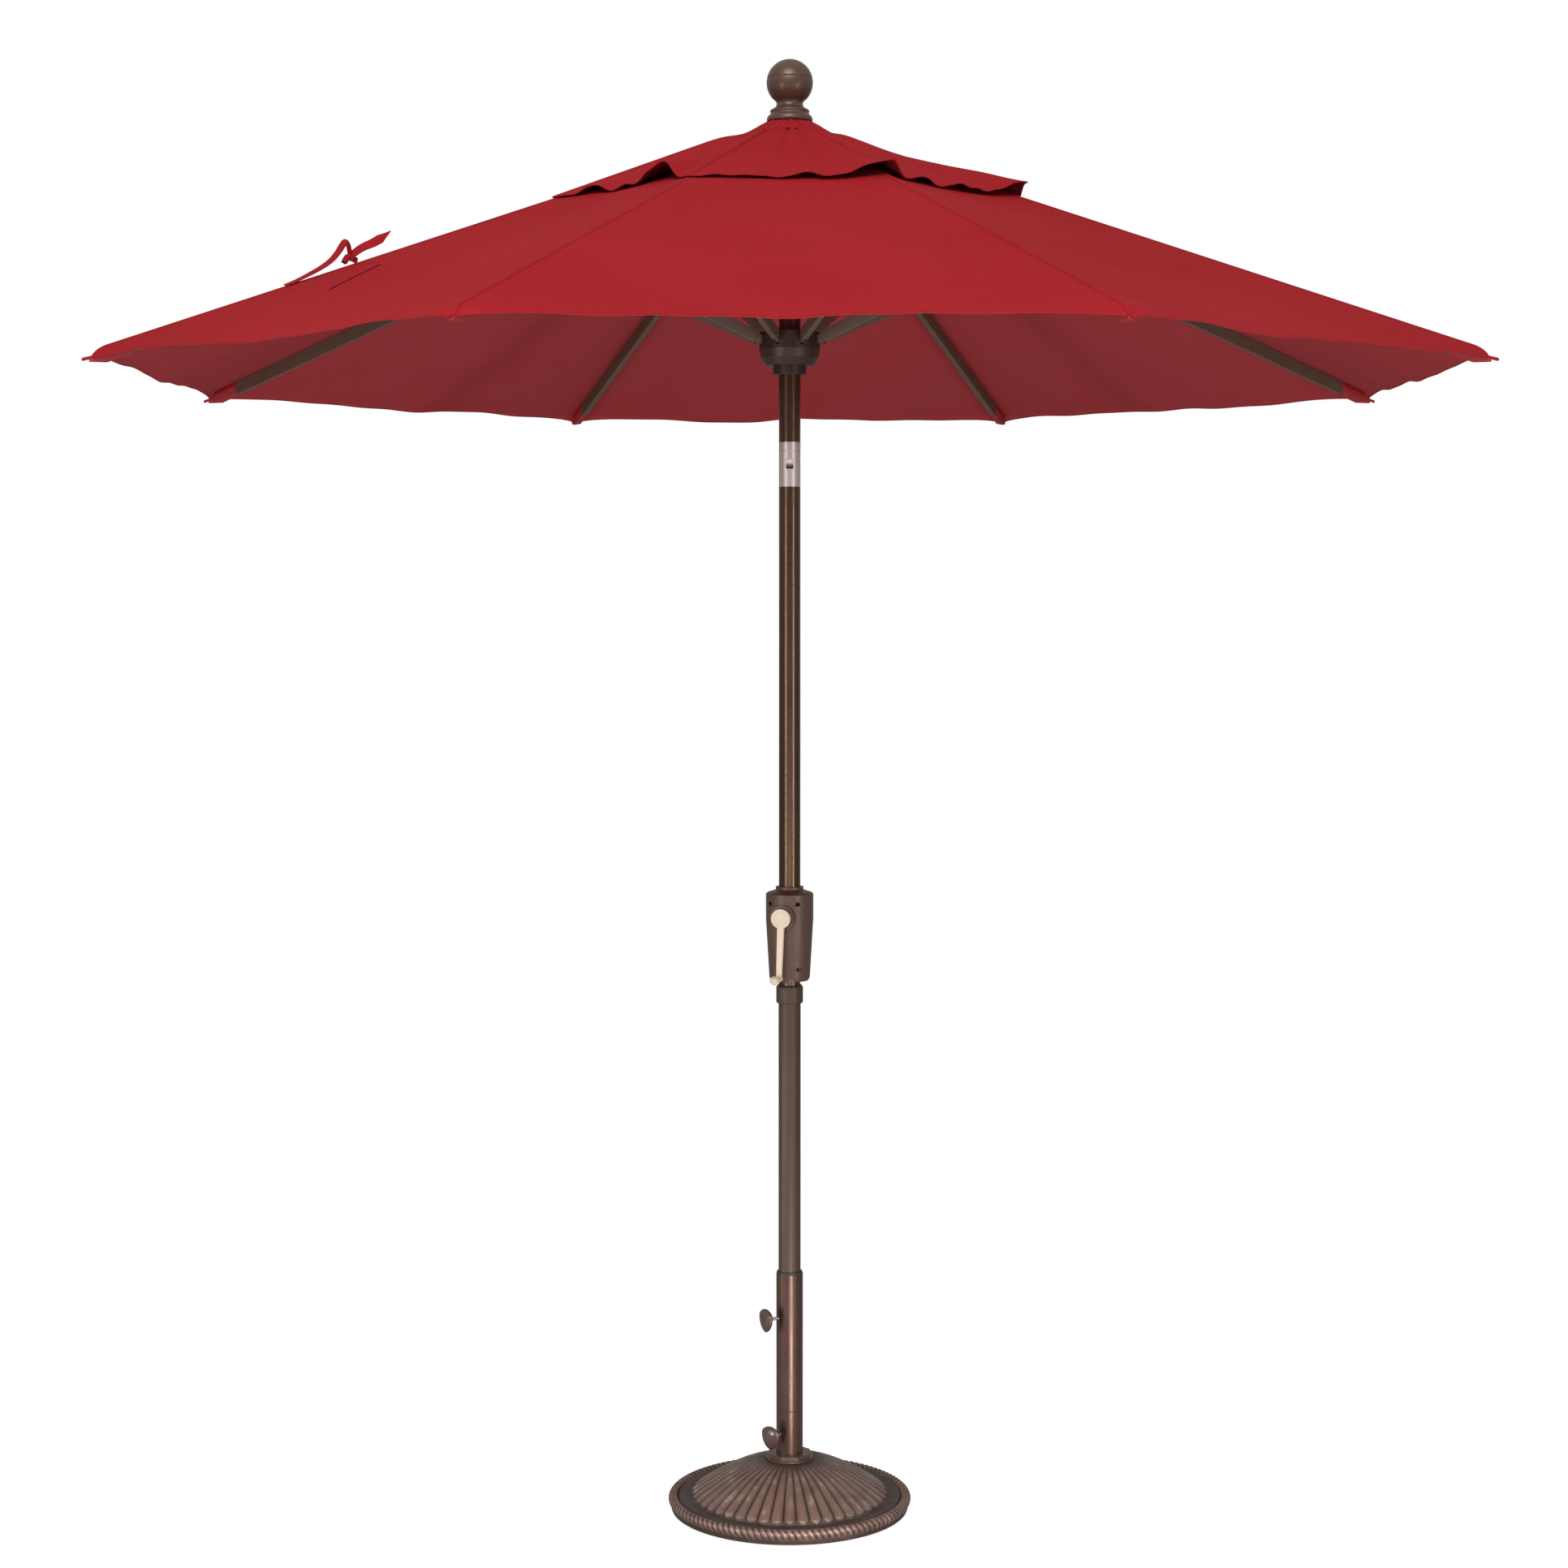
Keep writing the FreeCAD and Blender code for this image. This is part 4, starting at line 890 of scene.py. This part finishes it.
        # Known fault: this turns the wrong side round, so the faces of both sides point inwards.
        if side is Side.CLOCKWISE:
            faces = faces[:, ::-1].copy()
        radius = np.linalg.norm(flat[..., :2], axis=-1)
        uv = np.stack([np.linalg.norm(flat - flat[:, :1], axis=-1),
                       np.broadcast_to(radius[:, :1] / math.cos(self.slope), radius.shape)], axis=-1)
        look = Look(f"rib_{rib}", "canopy_fabric", Finish.CANOPY, (stands_for,))
        uv = np.tile(uv.reshape(-1, 2), (2, 1))
        piece = new_piece(tag, skin, faces, look, uv, ("underside_shade", underside_shade))
        self.fold(piece, cover, rib)
        hem = self.hem(cover, rib, side, tag + "_hem")
        legs = np.cross(flat[1:, :-1] - flat[:-1, :-1], flat[:-1, 1:] - flat[:-1, :-1])
        others = np.cross(flat[:-1, 1:] - flat[1:, 1:], flat[1:, :-1] - flat[1:, 1:])
        area = float((np.linalg.norm(legs, axis=-1) + np.linalg.norm(others, axis=-1)).sum() / 2)
        return piece

    def hem(self, cover: Cover, rib: int, side: Side, name: str) -> bpy.types.Object:
        """The turned hem along the rim: a flat band, thicker than the cloth, carried along its edge."""
        out = np.linspace(0, 1, cover.columns)
        edge = self.surface(cover, rib, side, np.ones_like(out), out)
        inside = self.surface(cover, rib, side, np.full_like(out, 0.985), out)
        across = unit(edge - inside)
        above = unit(np.cross(np.gradient(edge, axis=0), across) * side.value * -1)
        above *= np.sign(above[:, 2:])
        band = cover.hem
        profile = np.array([(-band, -0.0010), (-band + 0.0006, 0.0002), (-band * 0.55, 0.0004),
                            (-0.001, 0.0004), (0.0006, -0.0001), (0.0006, -0.0013),
                            (-0.001, -0.0018), (-band * 0.5, -0.0016)])
        points, faces, uv = sweep(edge, across, above, profile)
        uv[:, 0] += band
        # The band's lower face takes the underside's colour, painted shade.
        underside_shade = np.tile(np.where(profile[:, 1] < -0.0009, 1.0, 0.0), len(points) // len(profile))
        look = Look(f"rib_{rib}", "canopy_fabric", Finish.HEM)
        piece = new_piece(name, points, faces, look, uv, ("underside_shade", underside_shade), weld=True)
        self.fold(piece, cover, rib)
        return piece

    def seam(self, cover: Cover, rib: int) -> bpy.types.Object:
        """The flat-felled seam over a rib: a low ridge carried down the rib's line."""
        along = 0.002 + 0.997 * cover.stations()
        path = self.surface(cover, rib, Side.COUNTER, along, np.zeros_like(along))
        sideways = self.directions(rib)[0]
        wide = np.minimum(self.seam_width, np.linalg.norm(path[:, :2], axis=-1) * 0.12)[:, None, None]
        shape = np.array([(-1, -0.30), (-0.96, -0.10), (-0.3, 0.10), (0, 0.13), (0.3, 0.10), (0.96, -0.10),
                          (1, -0.30), (0, -0.16)])
        square = unit(np.cross(np.gradient(path, axis=0), sideways))
        points, faces, uv = sweep(path, np.tile(sideways, (len(path), 1)), square * np.sign(square[:, 2:]),
                                  shape * wide)
        look = Look(f"rib_{rib}", "canopy_fabric", Finish.SEAM)
        return new_piece(f"{cover.name}_seam_{rib}", points, faces, look, uv, weld=True)

    def pocket(self, rib: int) -> list[bpy.types.Object]:
        """The sewn pocket round a rib's end, and the end of its plug.

        The pocket is a rounded box carried down the rib. Its top follows the cloth and its bottom the
        rib, until the rib ends and the bottom runs level to meet the cloth. The plug is a short tube
        with a rounded end.
        """
        radius = np.concatenate([np.linspace(self.pocket_start, self.rib_end, 10),
                                 np.linspace(self.rib_end + 0.003, self.pocket_end, 10)])
        covered = np.minimum(radius, self.pocket_cloth_end)
        along = (covered - self.main.inner) / (self.main.outer - self.main.inner)
        ridge = self.surface(self.main, rib, Side.COUNTER, along, np.zeros_like(along))
        turn = self.azimuth(rib)
        ridge[:, 0], ridge[:, 1] = radius * math.cos(turn), radius * math.sin(turn)
        floor = self.main.height(np.minimum(radius, self.rib_end)) - self.pocket_depth
        top = np.maximum(ridge[:, 2] - 0.0008, floor + 0.0016)
        sideways = self.directions(rib)[0]
        path = ridge.copy()
        path[:, 2] = (top + floor) / 2
        closing = np.clip((radius - self.rib_end) / (self.pocket_end - self.rib_end), 0, 1)
        wide = self.pocket_half_width * (1 - 0.55 * closing ** 2) * (1 + 0.06 * np.sin(radius * 400 + rib))
        profile = rounded(1.0, 1.0)[None] * np.stack([wide, (top - floor) / 2], axis=-1)[:, None]
        count = (len(path), 1)
        points, faces, uv = sweep(path, np.tile(sideways, count), np.tile(UP, count), profile)
        # The pocket's sides and bottom take the underside's colour, painted shade.
        underside_shade = np.where(points[:, 2] > np.repeat(np.pad(path[:, 2], 1, "edge"), 24) + 0.004, 0.0, 1.0)
        look = Look(f"rib_{rib}", "canopy_fabric", Finish.CANOPY)
        pieces = [new_piece(f"rib_pocket_{rib}", points, faces, look, uv, ("underside_shade", underside_shade), weld=True)]
        share = np.linspace(0, 1, 12)
        reach = self.plug_start + self.plug_length * share
        line = np.stack([reach * math.cos(turn), reach * math.sin(turn),
                         self.plug_height - self.plug_fall * share], axis=-1)
        bulb = self.plug_radius * np.sqrt(np.clip(1 - np.clip((share - 0.85) / 0.15, 0, 1) ** 2, 0.01, 1))
        tube = rounded(1.0, 1.0, 16, 2.0)[None] * bulb[:, None, None]
        count = (len(line), 1)
        points, faces, uv = sweep(line, np.tile(sideways, count), np.tile(UP, count), tube)
        look = Look(f"rib_{rib}", "canopy_fabric", Finish.SEAM)
        pieces.append(new_piece(f"rib_plug_{rib}", points, faces, look, uv, weld=True))
        return pieces

    def crown_patch(self) -> bpy.types.Object:
        """The round patch under the vent cover: a shallow cone of doubled cloth, turned about the mast."""
        radius = np.array([0.0300, 0.045, 0.060, 0.0745, 0.0760, 0.0745, 0.060, 0.045, 0.0300])
        rise = np.array([0.0016, 0.0016, 0.0016, 0.0014, 0.0008, 0.0001, 0.0, 0.0, 0.0]) - 0.0036
        turn = np.linspace(0, 2 * math.pi, 96, endpoint=False)
        z = self.vent.height(radius) + self.vent.swells[0].at(np.zeros_like(radius), radius) + rise
        points = np.stack([radius[:, None] * np.cos(turn), radius[:, None] * np.sin(turn),
                           np.broadcast_to(z[:, None], (9, 96))], axis=-1)
        points = np.concatenate([points, points[:1]])
        uv = np.stack([np.broadcast_to(np.append(radius, radius[0])[:, None], (10, 96)),
                       np.broadcast_to(turn * 0.07, (10, 96))], axis=-1)
        look = Look("mast", "canopy_fabric", Finish.CANOPY)
        return new_piece("crown_patch", points.reshape(-1, 3), grid_faces(10, 96, ring=True), look,
                         uv.reshape(-1, 2), weld=True)

    def strap(self) -> list[bpy.types.Object]:
        """The closure strap tied up over its rib: a strand, a loop, a knot and a loose tail.

        Its line is a spline through points given as radius, height above the rib's line and sideways
        shift, and its flat profile turns from lying flat to standing on edge.
        """
        turn = self.azimuth(self.strap_rib)
        sideways = self.directions(self.strap_rib)[0]

        def line(stations: Array, count: int) -> Array:
            """Points of a smooth line over the rib from its stations."""
            radius, rise, shift = smooth_line(stations, count).T
            ridge = np.stack([radius * math.cos(turn), radius * math.sin(turn),
                              self.main.height(radius)], axis=-1)
            return ridge + UP * rise[:, None] + sideways * shift[:, None]

        strand = line(np.array([
            (0.962, 0.0022, 0), (0.945, 0.003, 0.001), (0.925, 0.0065, 0.002), (0.902, 0.011, 0.001),
            (0.880, 0.018, -0.001), (0.866, 0.030, 0.0), (0.858, 0.041, 0.001), (0.853, 0.045, 0.003),
            (0.849, 0.038, 0.003), (0.846, 0.022, 0.002), (0.842, 0.010, 0.001), (0.832, 0.003, 0.0)]), 8)
        tail = line(np.array([
            (0.848, 0.012, 0), (0.838, 0.019, -0.001), (0.822, 0.025, -0.003), (0.803, 0.026, -0.001),
            (0.788, 0.030, 0.002), (0.772, 0.037, 0.003)]), 9)
        knot = line(np.array([
            (0.856, 0.008, 0), (0.851, 0.016, 0.001), (0.846, 0.016, 0), (0.841, 0.008, 0)]), 8)
        pieces = []
        settings = (("strap_strand", strand, 14.0, 48.0, 0.0086), ("strap_tail", tail, 35.0, 78.0, 0.0086),
                    ("strap_knot", knot, 0.0, 20.0, 0.0095))
        for name, path, first, last, half_wide in settings:
            tangent = unit(np.gradient(path, axis=0))
            lying = np.radians(np.linspace(first, last, len(path)))[:, None]
            square = unit(np.cross(tangent, sideways))
            across = sideways * np.cos(lying) + square * np.sin(lying)
            through = unit(np.cross(tangent, across))
            thick = 0.0045 if name == "strap_knot" else 0.0009
            share = np.linspace(0, 1, len(path))[:, None, None]
            even = np.ones_like(share)
            pointed = 1 - 0.9 * np.clip((share - 0.82) / 0.18, 0, 1) if name == "strap_tail" else even
            profile = rounded(half_wide, thick, 16, 6.0) * np.concatenate([pointed, even], axis=-1)
            points, faces, uv = sweep(path, across, through, profile)
            look = Look(f"rib_{self.strap_rib}", "canopy_fabric", Finish.CANOPY,
                        ("closure_strap",) if name == "strap_strand" else ())
            pieces.append(new_piece(name, points, faces, look, uv, weld=True))
            if name != "strap_knot":
                length = float(np.linalg.norm(np.diff(path, axis=0), axis=1).sum())
        # A thin raised strip of darker red laid over a half panel beside the strap's rib.
        share = np.linspace(0, 1, 40)
        along, out = (start + run * share for start, run in (self.dark_strip_along, self.dark_strip_out))
        path = self.surface(self.main, self.strap_rib, Side.COUNTER, along, out)
        path[:, 2] += 0.0009 + 0.0004 * np.sin(37 * share)
        tangent = unit(np.gradient(path, axis=0))
        across = unit(np.cross(tangent, UP))
        points, faces, uv = sweep(path, across, np.cross(across, tangent), rounded(0.0014, 0.0008, 10, 2.0))
        look = Look(f"rib_{self.strap_rib}", "canopy_fabric", Finish.DARK_STRIP)
        dark_strip = new_piece("dark_strip_piece", points, faces, look, uv, weld=True)
        self.fold(dark_strip, self.main, self.strap_rib)
        return [*pieces, dark_strip]

    def build(self) -> None:
        """Sew the main gores, the vent cover, the pockets, the patch and the strap."""
        for rib in range(1, self.ribs + 1):
            for side in Side:
                self.half_panel(self.main, rib, side, f"canopy_gore_{rib}")
                self.half_panel(self.vent, rib, side, "vent_canopy")
            self.seam(self.main, rib)
            self.seam(self.vent, rib)
            self.pocket(rib)
        self.crown_patch()
        self.strap()


# ---------------------------------------------------------------- the stand

@dataclass
class Stand:
    """The cast shell of the base: a fluted dome, a flat band and a rope rim."""

    petals: int = 46
    beads: int = 115
    samples: int = 920
    inner_radius: float = 0.02585
    tip_radius: float = 0.191
    rim_radius: float = 0.2355
    rope_radius: float = 0.0095
    rim_height: float = 0.030
    dome_height: float = 0.100
    wall: float = 0.005
    floor: float = 0.004
    flute: float = 0.0052
    bead: float = 0.0023

    def dome(self, radius: Array) -> Array:
        """Height of the plain dome: the band's height and a quarter cosine wave above it."""
        share = np.clip((radius - 0.02575) / (self.tip_radius - 0.02575), 0, 1)
        return self.rim_height + (self.dome_height - self.rim_height) * np.cos(share * math.pi / 2)

    def petal(self, radius: Array, turn: Array) -> Array:
        """How far a point is up its petal, 0 in the valley and 1 on the crest.

        Across a petal it is the square root of one minus the squared offset from its middle, and the
        outer end closes in a half circle as wide as the petal.
        """
        phase = (turn * self.petals / (2 * math.pi)) % 1.0
        offset = 2 * phase - 1
        half_wide = math.pi * self.tip_radius / self.petals
        crest = np.sqrt(np.clip(1 - offset ** 2, 0, 1))
        end = self.tip_radius - half_wide * (1 - crest)
        ending = np.clip((end - radius) / 0.004, 0, 1)
        starting = np.clip((radius - 0.040) / 0.05, 0, 1) ** 0.5
        return crest * np.sqrt(ending * (2 - ending)) * starting

    def build(self) -> bpy.types.Object:
        """Turn the profile about the axis, with petals on the dome and beads on the rim.

        The profile runs over the dome, the band and the rope, down the edge, in underneath and back
        up inside the wall. Heights on the dome rise by the flute times the petal, and the rope's
        radius swells with the absolute sine of a phase that twists round its section.
        """
        turn = np.linspace(0, 2 * math.pi, self.samples, endpoint=False)[None]
        radius = np.concatenate([np.linspace(self.inner_radius, 0.165, 16), np.linspace(0.168, 0.192, 19)])
        radius = radius[:, None]
        up = self.petal(radius, turn)
        grow = np.clip((radius - 0.03) / 0.14, 0.15, 1)
        dome_z = self.dome(radius) - 0.0022 * grow + self.flute * grow * up
        full = np.ones_like(turn)
        band = np.array([0.1945, 0.201, 0.208, 0.2145])[:, None]
        band_z = self.rim_height - 0.0015 - 0.0006 * np.sin((band - 0.191) * 260)
        section = np.linspace(math.radians(175), math.radians(-60), 16)[:, None]
        centre = self.rim_radius - self.rope_radius
        phase = turn * self.beads / 2 + section * 0.9
        bead = np.abs(np.sin(phase)) ** 0.7
        rope = self.rope_radius - self.bead + self.bead * bead
        rope_r, rope_z = centre + rope * np.cos(section), 0.0225 + rope * np.sin(section)
        edge = np.array([(0.2300, 0.0115), (0.2300, 0.0065), (0.2290, self.floor), (0.2278, self.floor),
                         (0.2275, 0.006), (0.2275, self.rim_height - self.wall - 0.003)])
        inside = np.linspace(self.tip_radius, self.inner_radius, 12)
        under = np.stack([inside, self.dome(inside) - self.wall], axis=-1)
        lower = np.concatenate([edge, under])[:, :, None]
        radii = np.concatenate([radius * full, band * full, rope_r, lower[:, 0] * full, radius[:1] * full])
        heights = np.concatenate([dome_z, band_z * full, rope_z, lower[:, 1] * full, dome_z[:1]])
        relief = np.concatenate([0.12 + 0.88 * up, 0.42 * full * np.ones_like(band), 0.25 + 0.75 * bead,
                                 0.4 * full * np.ones((len(lower), 1)), 0.12 + 0.88 * up[:1]])
        points = np.stack([radii * np.cos(turn), radii * np.sin(turn), heights], axis=-1)
        look = Look("base", "base_bronze", Finish.CASTING, ("base_shell",))
        faces = grid_faces(len(points), self.samples, ring=True)
        return new_piece("cast_base", points.reshape(-1, 3), faces, look, mask=("relief", relief.ravel()),
                         weld=True)


# ---------------------------------------------------------------- the finial

@dataclass
class Finial:
    """The ball on the mast: a stepped foot, a waisted neck and a ball moulded in two halves."""

    top: float = field(default_factory=lambda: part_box("finial")[1][2])
    ball: float = 0.0437
    joint: float = 9.8
    joint_depth: float = 0.022
    foot: tuple[tuple[float, float], ...] = (
        (0.0, 0.1175), (0.0405, 0.1175), (0.0432, 0.1160), (0.0434, 0.1115), (0.0418, 0.1070),
        (0.0378, 0.1038), (0.0362, 0.1016), (0.0364, 0.0994), (0.0374, 0.0974), (0.0366, 0.0950),
        (0.0320, 0.0926), (0.0268, 0.0892), (0.0246, 0.0842), (0.0252, 0.0796), (0.0284, 0.0762))

    def build(self) -> bpy.types.Object:
        """Turn the profile about the mast.

        The foot's corners (radius, depth below the top) are joined by a quadratic spline. The ball is
        an arc, with a bell-shaped groove where its two halves meet.
        """
        corners = np.array(self.foot)
        foot = smooth_line(corners, 7)
        turn = np.linspace(-43.0, 90.0, 134)
        groove = 1 - self.joint_depth * np.exp(-((turn - self.joint) / 1.1) ** 2)
        arc = np.stack([np.cos(np.radians(turn)) * groove, 1 - np.sin(np.radians(turn)) * groove], axis=-1)
        profile = np.concatenate([foot, arc * self.ball])
        profile[-1, 0] = 0.0
        round_turn = np.linspace(0, 2 * math.pi, 96, endpoint=False)
        points = np.stack([profile[:, :1] * np.cos(round_turn), profile[:, :1] * np.sin(round_turn),
                           np.broadcast_to(self.top - profile[:, 1:], (len(profile), 96))], axis=-1)
        look = Look("mast", "finial_bronze", Finish.FINIAL, ("finial",))
        return new_piece("ball_finial", points.reshape(-1, 3), grid_faces(len(profile), 96, ring=True), look,
                         weld=True)


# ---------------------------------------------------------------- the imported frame

class Frame:
    """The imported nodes, dressed by their slots."""

    def dress(self) -> None:
        """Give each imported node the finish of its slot."""
        slots = {part["node"]: part["material_slot"] for part in frame["record"]["subparts"]}
        for name, node in frame["nodes"].items():
            finish = NODE_FINISH.get(name, SLOT_FINISH[slots[name]])
            node.data.materials.clear()
            node.data.materials.append(material_of(finish))
            LOG.info("%s wears %s", name, finish.name)


# ---------------------------------------------------------------- the studio

@dataclass
class Studio:
    """A pale floor, a white sky, soft lights and the camera."""

    camera_at: tuple[float, float, float] = (-0.0108, -5.3001, 1.7589)
    camera_pitch: float = math.radians(90 - 3.753)
    lens: float = 63.73
    floor_radius: float = 60.0
    sky_light: float = 0.5
    floor_glow: float = 0.76

    def lamp(self, name: str, place: tuple[float, float, float], aim: tuple[float, float, float],
             size: tuple[float, float], power: float) -> None:
        """Hang a soft rectangular light.

        Args:
            name: The light's name.
            place: Where it hangs.
            aim: The point it looks at.
            size: Its width and height.
            power: Its power in watts.
        """
        data = bpy.data.lights.new(name, "AREA")
        data.shape, data.size, data.size_y, data.energy = "RECTANGLE", size[0], size[1], power
        light = bpy.data.objects.new(name, data)
        light.visible_camera = False
        bpy.context.scene.collection.objects.link(light)
        light.location = place
        light.rotation_euler = (Vector(aim) - Vector(place)).to_track_quat("-Z", "Y").to_euler()

    def floor(self) -> None:
        """A wide disc under the stand, pale and matt."""
        turn = np.linspace(0, 2 * math.pi, 64, endpoint=False)
        ring = np.stack([np.cos(turn), np.sin(turn), np.zeros(64)], axis=-1)
        mesh = bpy.data.meshes.new("floor")
        mesh.from_pydata((ring * self.floor_radius).tolist(), [], [list(range(64))])
        material, nodes, shader = new_material("pale_floor")
        shader.inputs["Base Color"].default_value = tone(178, 177, 175)
        shader.inputs["Roughness"].default_value = 0.9
        shader.inputs["Emission Color"].default_value = (1.0, 1.0, 1.0, 1.0)
        seen = nodes.add("ShaderNodeLightPath").outputs["Is Camera Ray"]
        nodes.feed(shader.inputs["Emission Strength"], nodes.sum("MULTIPLY", seen, self.floor_glow))
        mesh.materials.append(material)
        floor = bpy.data.objects.new("floor", mesh)
        bpy.context.scene.collection.objects.link(floor)

    def build(self) -> None:
        """Set the floor, the sky, the lights, the camera and the plain view transform."""
        self.floor()
        world = bpy.data.worlds.new("white_sky")
        world.use_nodes = True
        sky = Nodes(world.node_tree)
        seen = sky.add("ShaderNodeLightPath").outputs["Is Camera Ray"]
        back = world.node_tree.nodes["Background"]
        back.inputs["Color"].default_value = (1.0, 1.0, 1.0, 1.0)
        sky.feed(back.inputs["Strength"], sky.spread(seen, 0.0, 1.0, self.sky_light, 1.0))
        bpy.context.scene.world = world
        self.lamp("key", (-0.6, -4.6, 6.2), (0.0, 0.0, 1.9), (3.5, 3.0), 240.0)
        self.lamp("low_fill", (0.0, -4.5, 0.5), (0.0, 0.2, 2.1), (4.0, 1.0), 30.0)
        self.lamp("left_strip", (-2.0, -2.3, 1.1), (0.0, 0.0, 1.1), (0.22, 2.0), 26.0)
        self.lamp("right_strip", (2.0, -2.3, 1.1), (0.0, 0.0, 1.1), (0.22, 2.0), 26.0)
        self.lamp("stem_glint", (0.16, -0.62, 0.18), (0.0, 0.0, 0.30), (0.13, 0.34), 3.2)
        self.lamp("base_rake", (-1.3, -0.5, 0.45), (0.0, 0.0, 0.05), (0.2, 0.3), 5.0)
        data = bpy.data.cameras.new("camera")
        data.lens, data.sensor_width, data.clip_end = self.lens, 36.0, 200.0
        camera = bpy.data.objects.new("camera", data)
        bpy.context.scene.collection.objects.link(camera)
        camera.location = self.camera_at
        camera.rotation_euler = (self.camera_pitch, 0.0, 0.0)
        bpy.context.scene.camera = camera
        bpy.context.scene.view_settings.view_transform = "Standard"


def main() -> None:
    """Build the sub-assemblies in order."""
    logging.basicConfig(level=logging.INFO, format="%(message)s")
    Studio().build()
    Frame().dress()
    Stand().build()
    Canopy().build()
    Finial().build()
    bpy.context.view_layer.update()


if __name__ == "__main__":
    main()
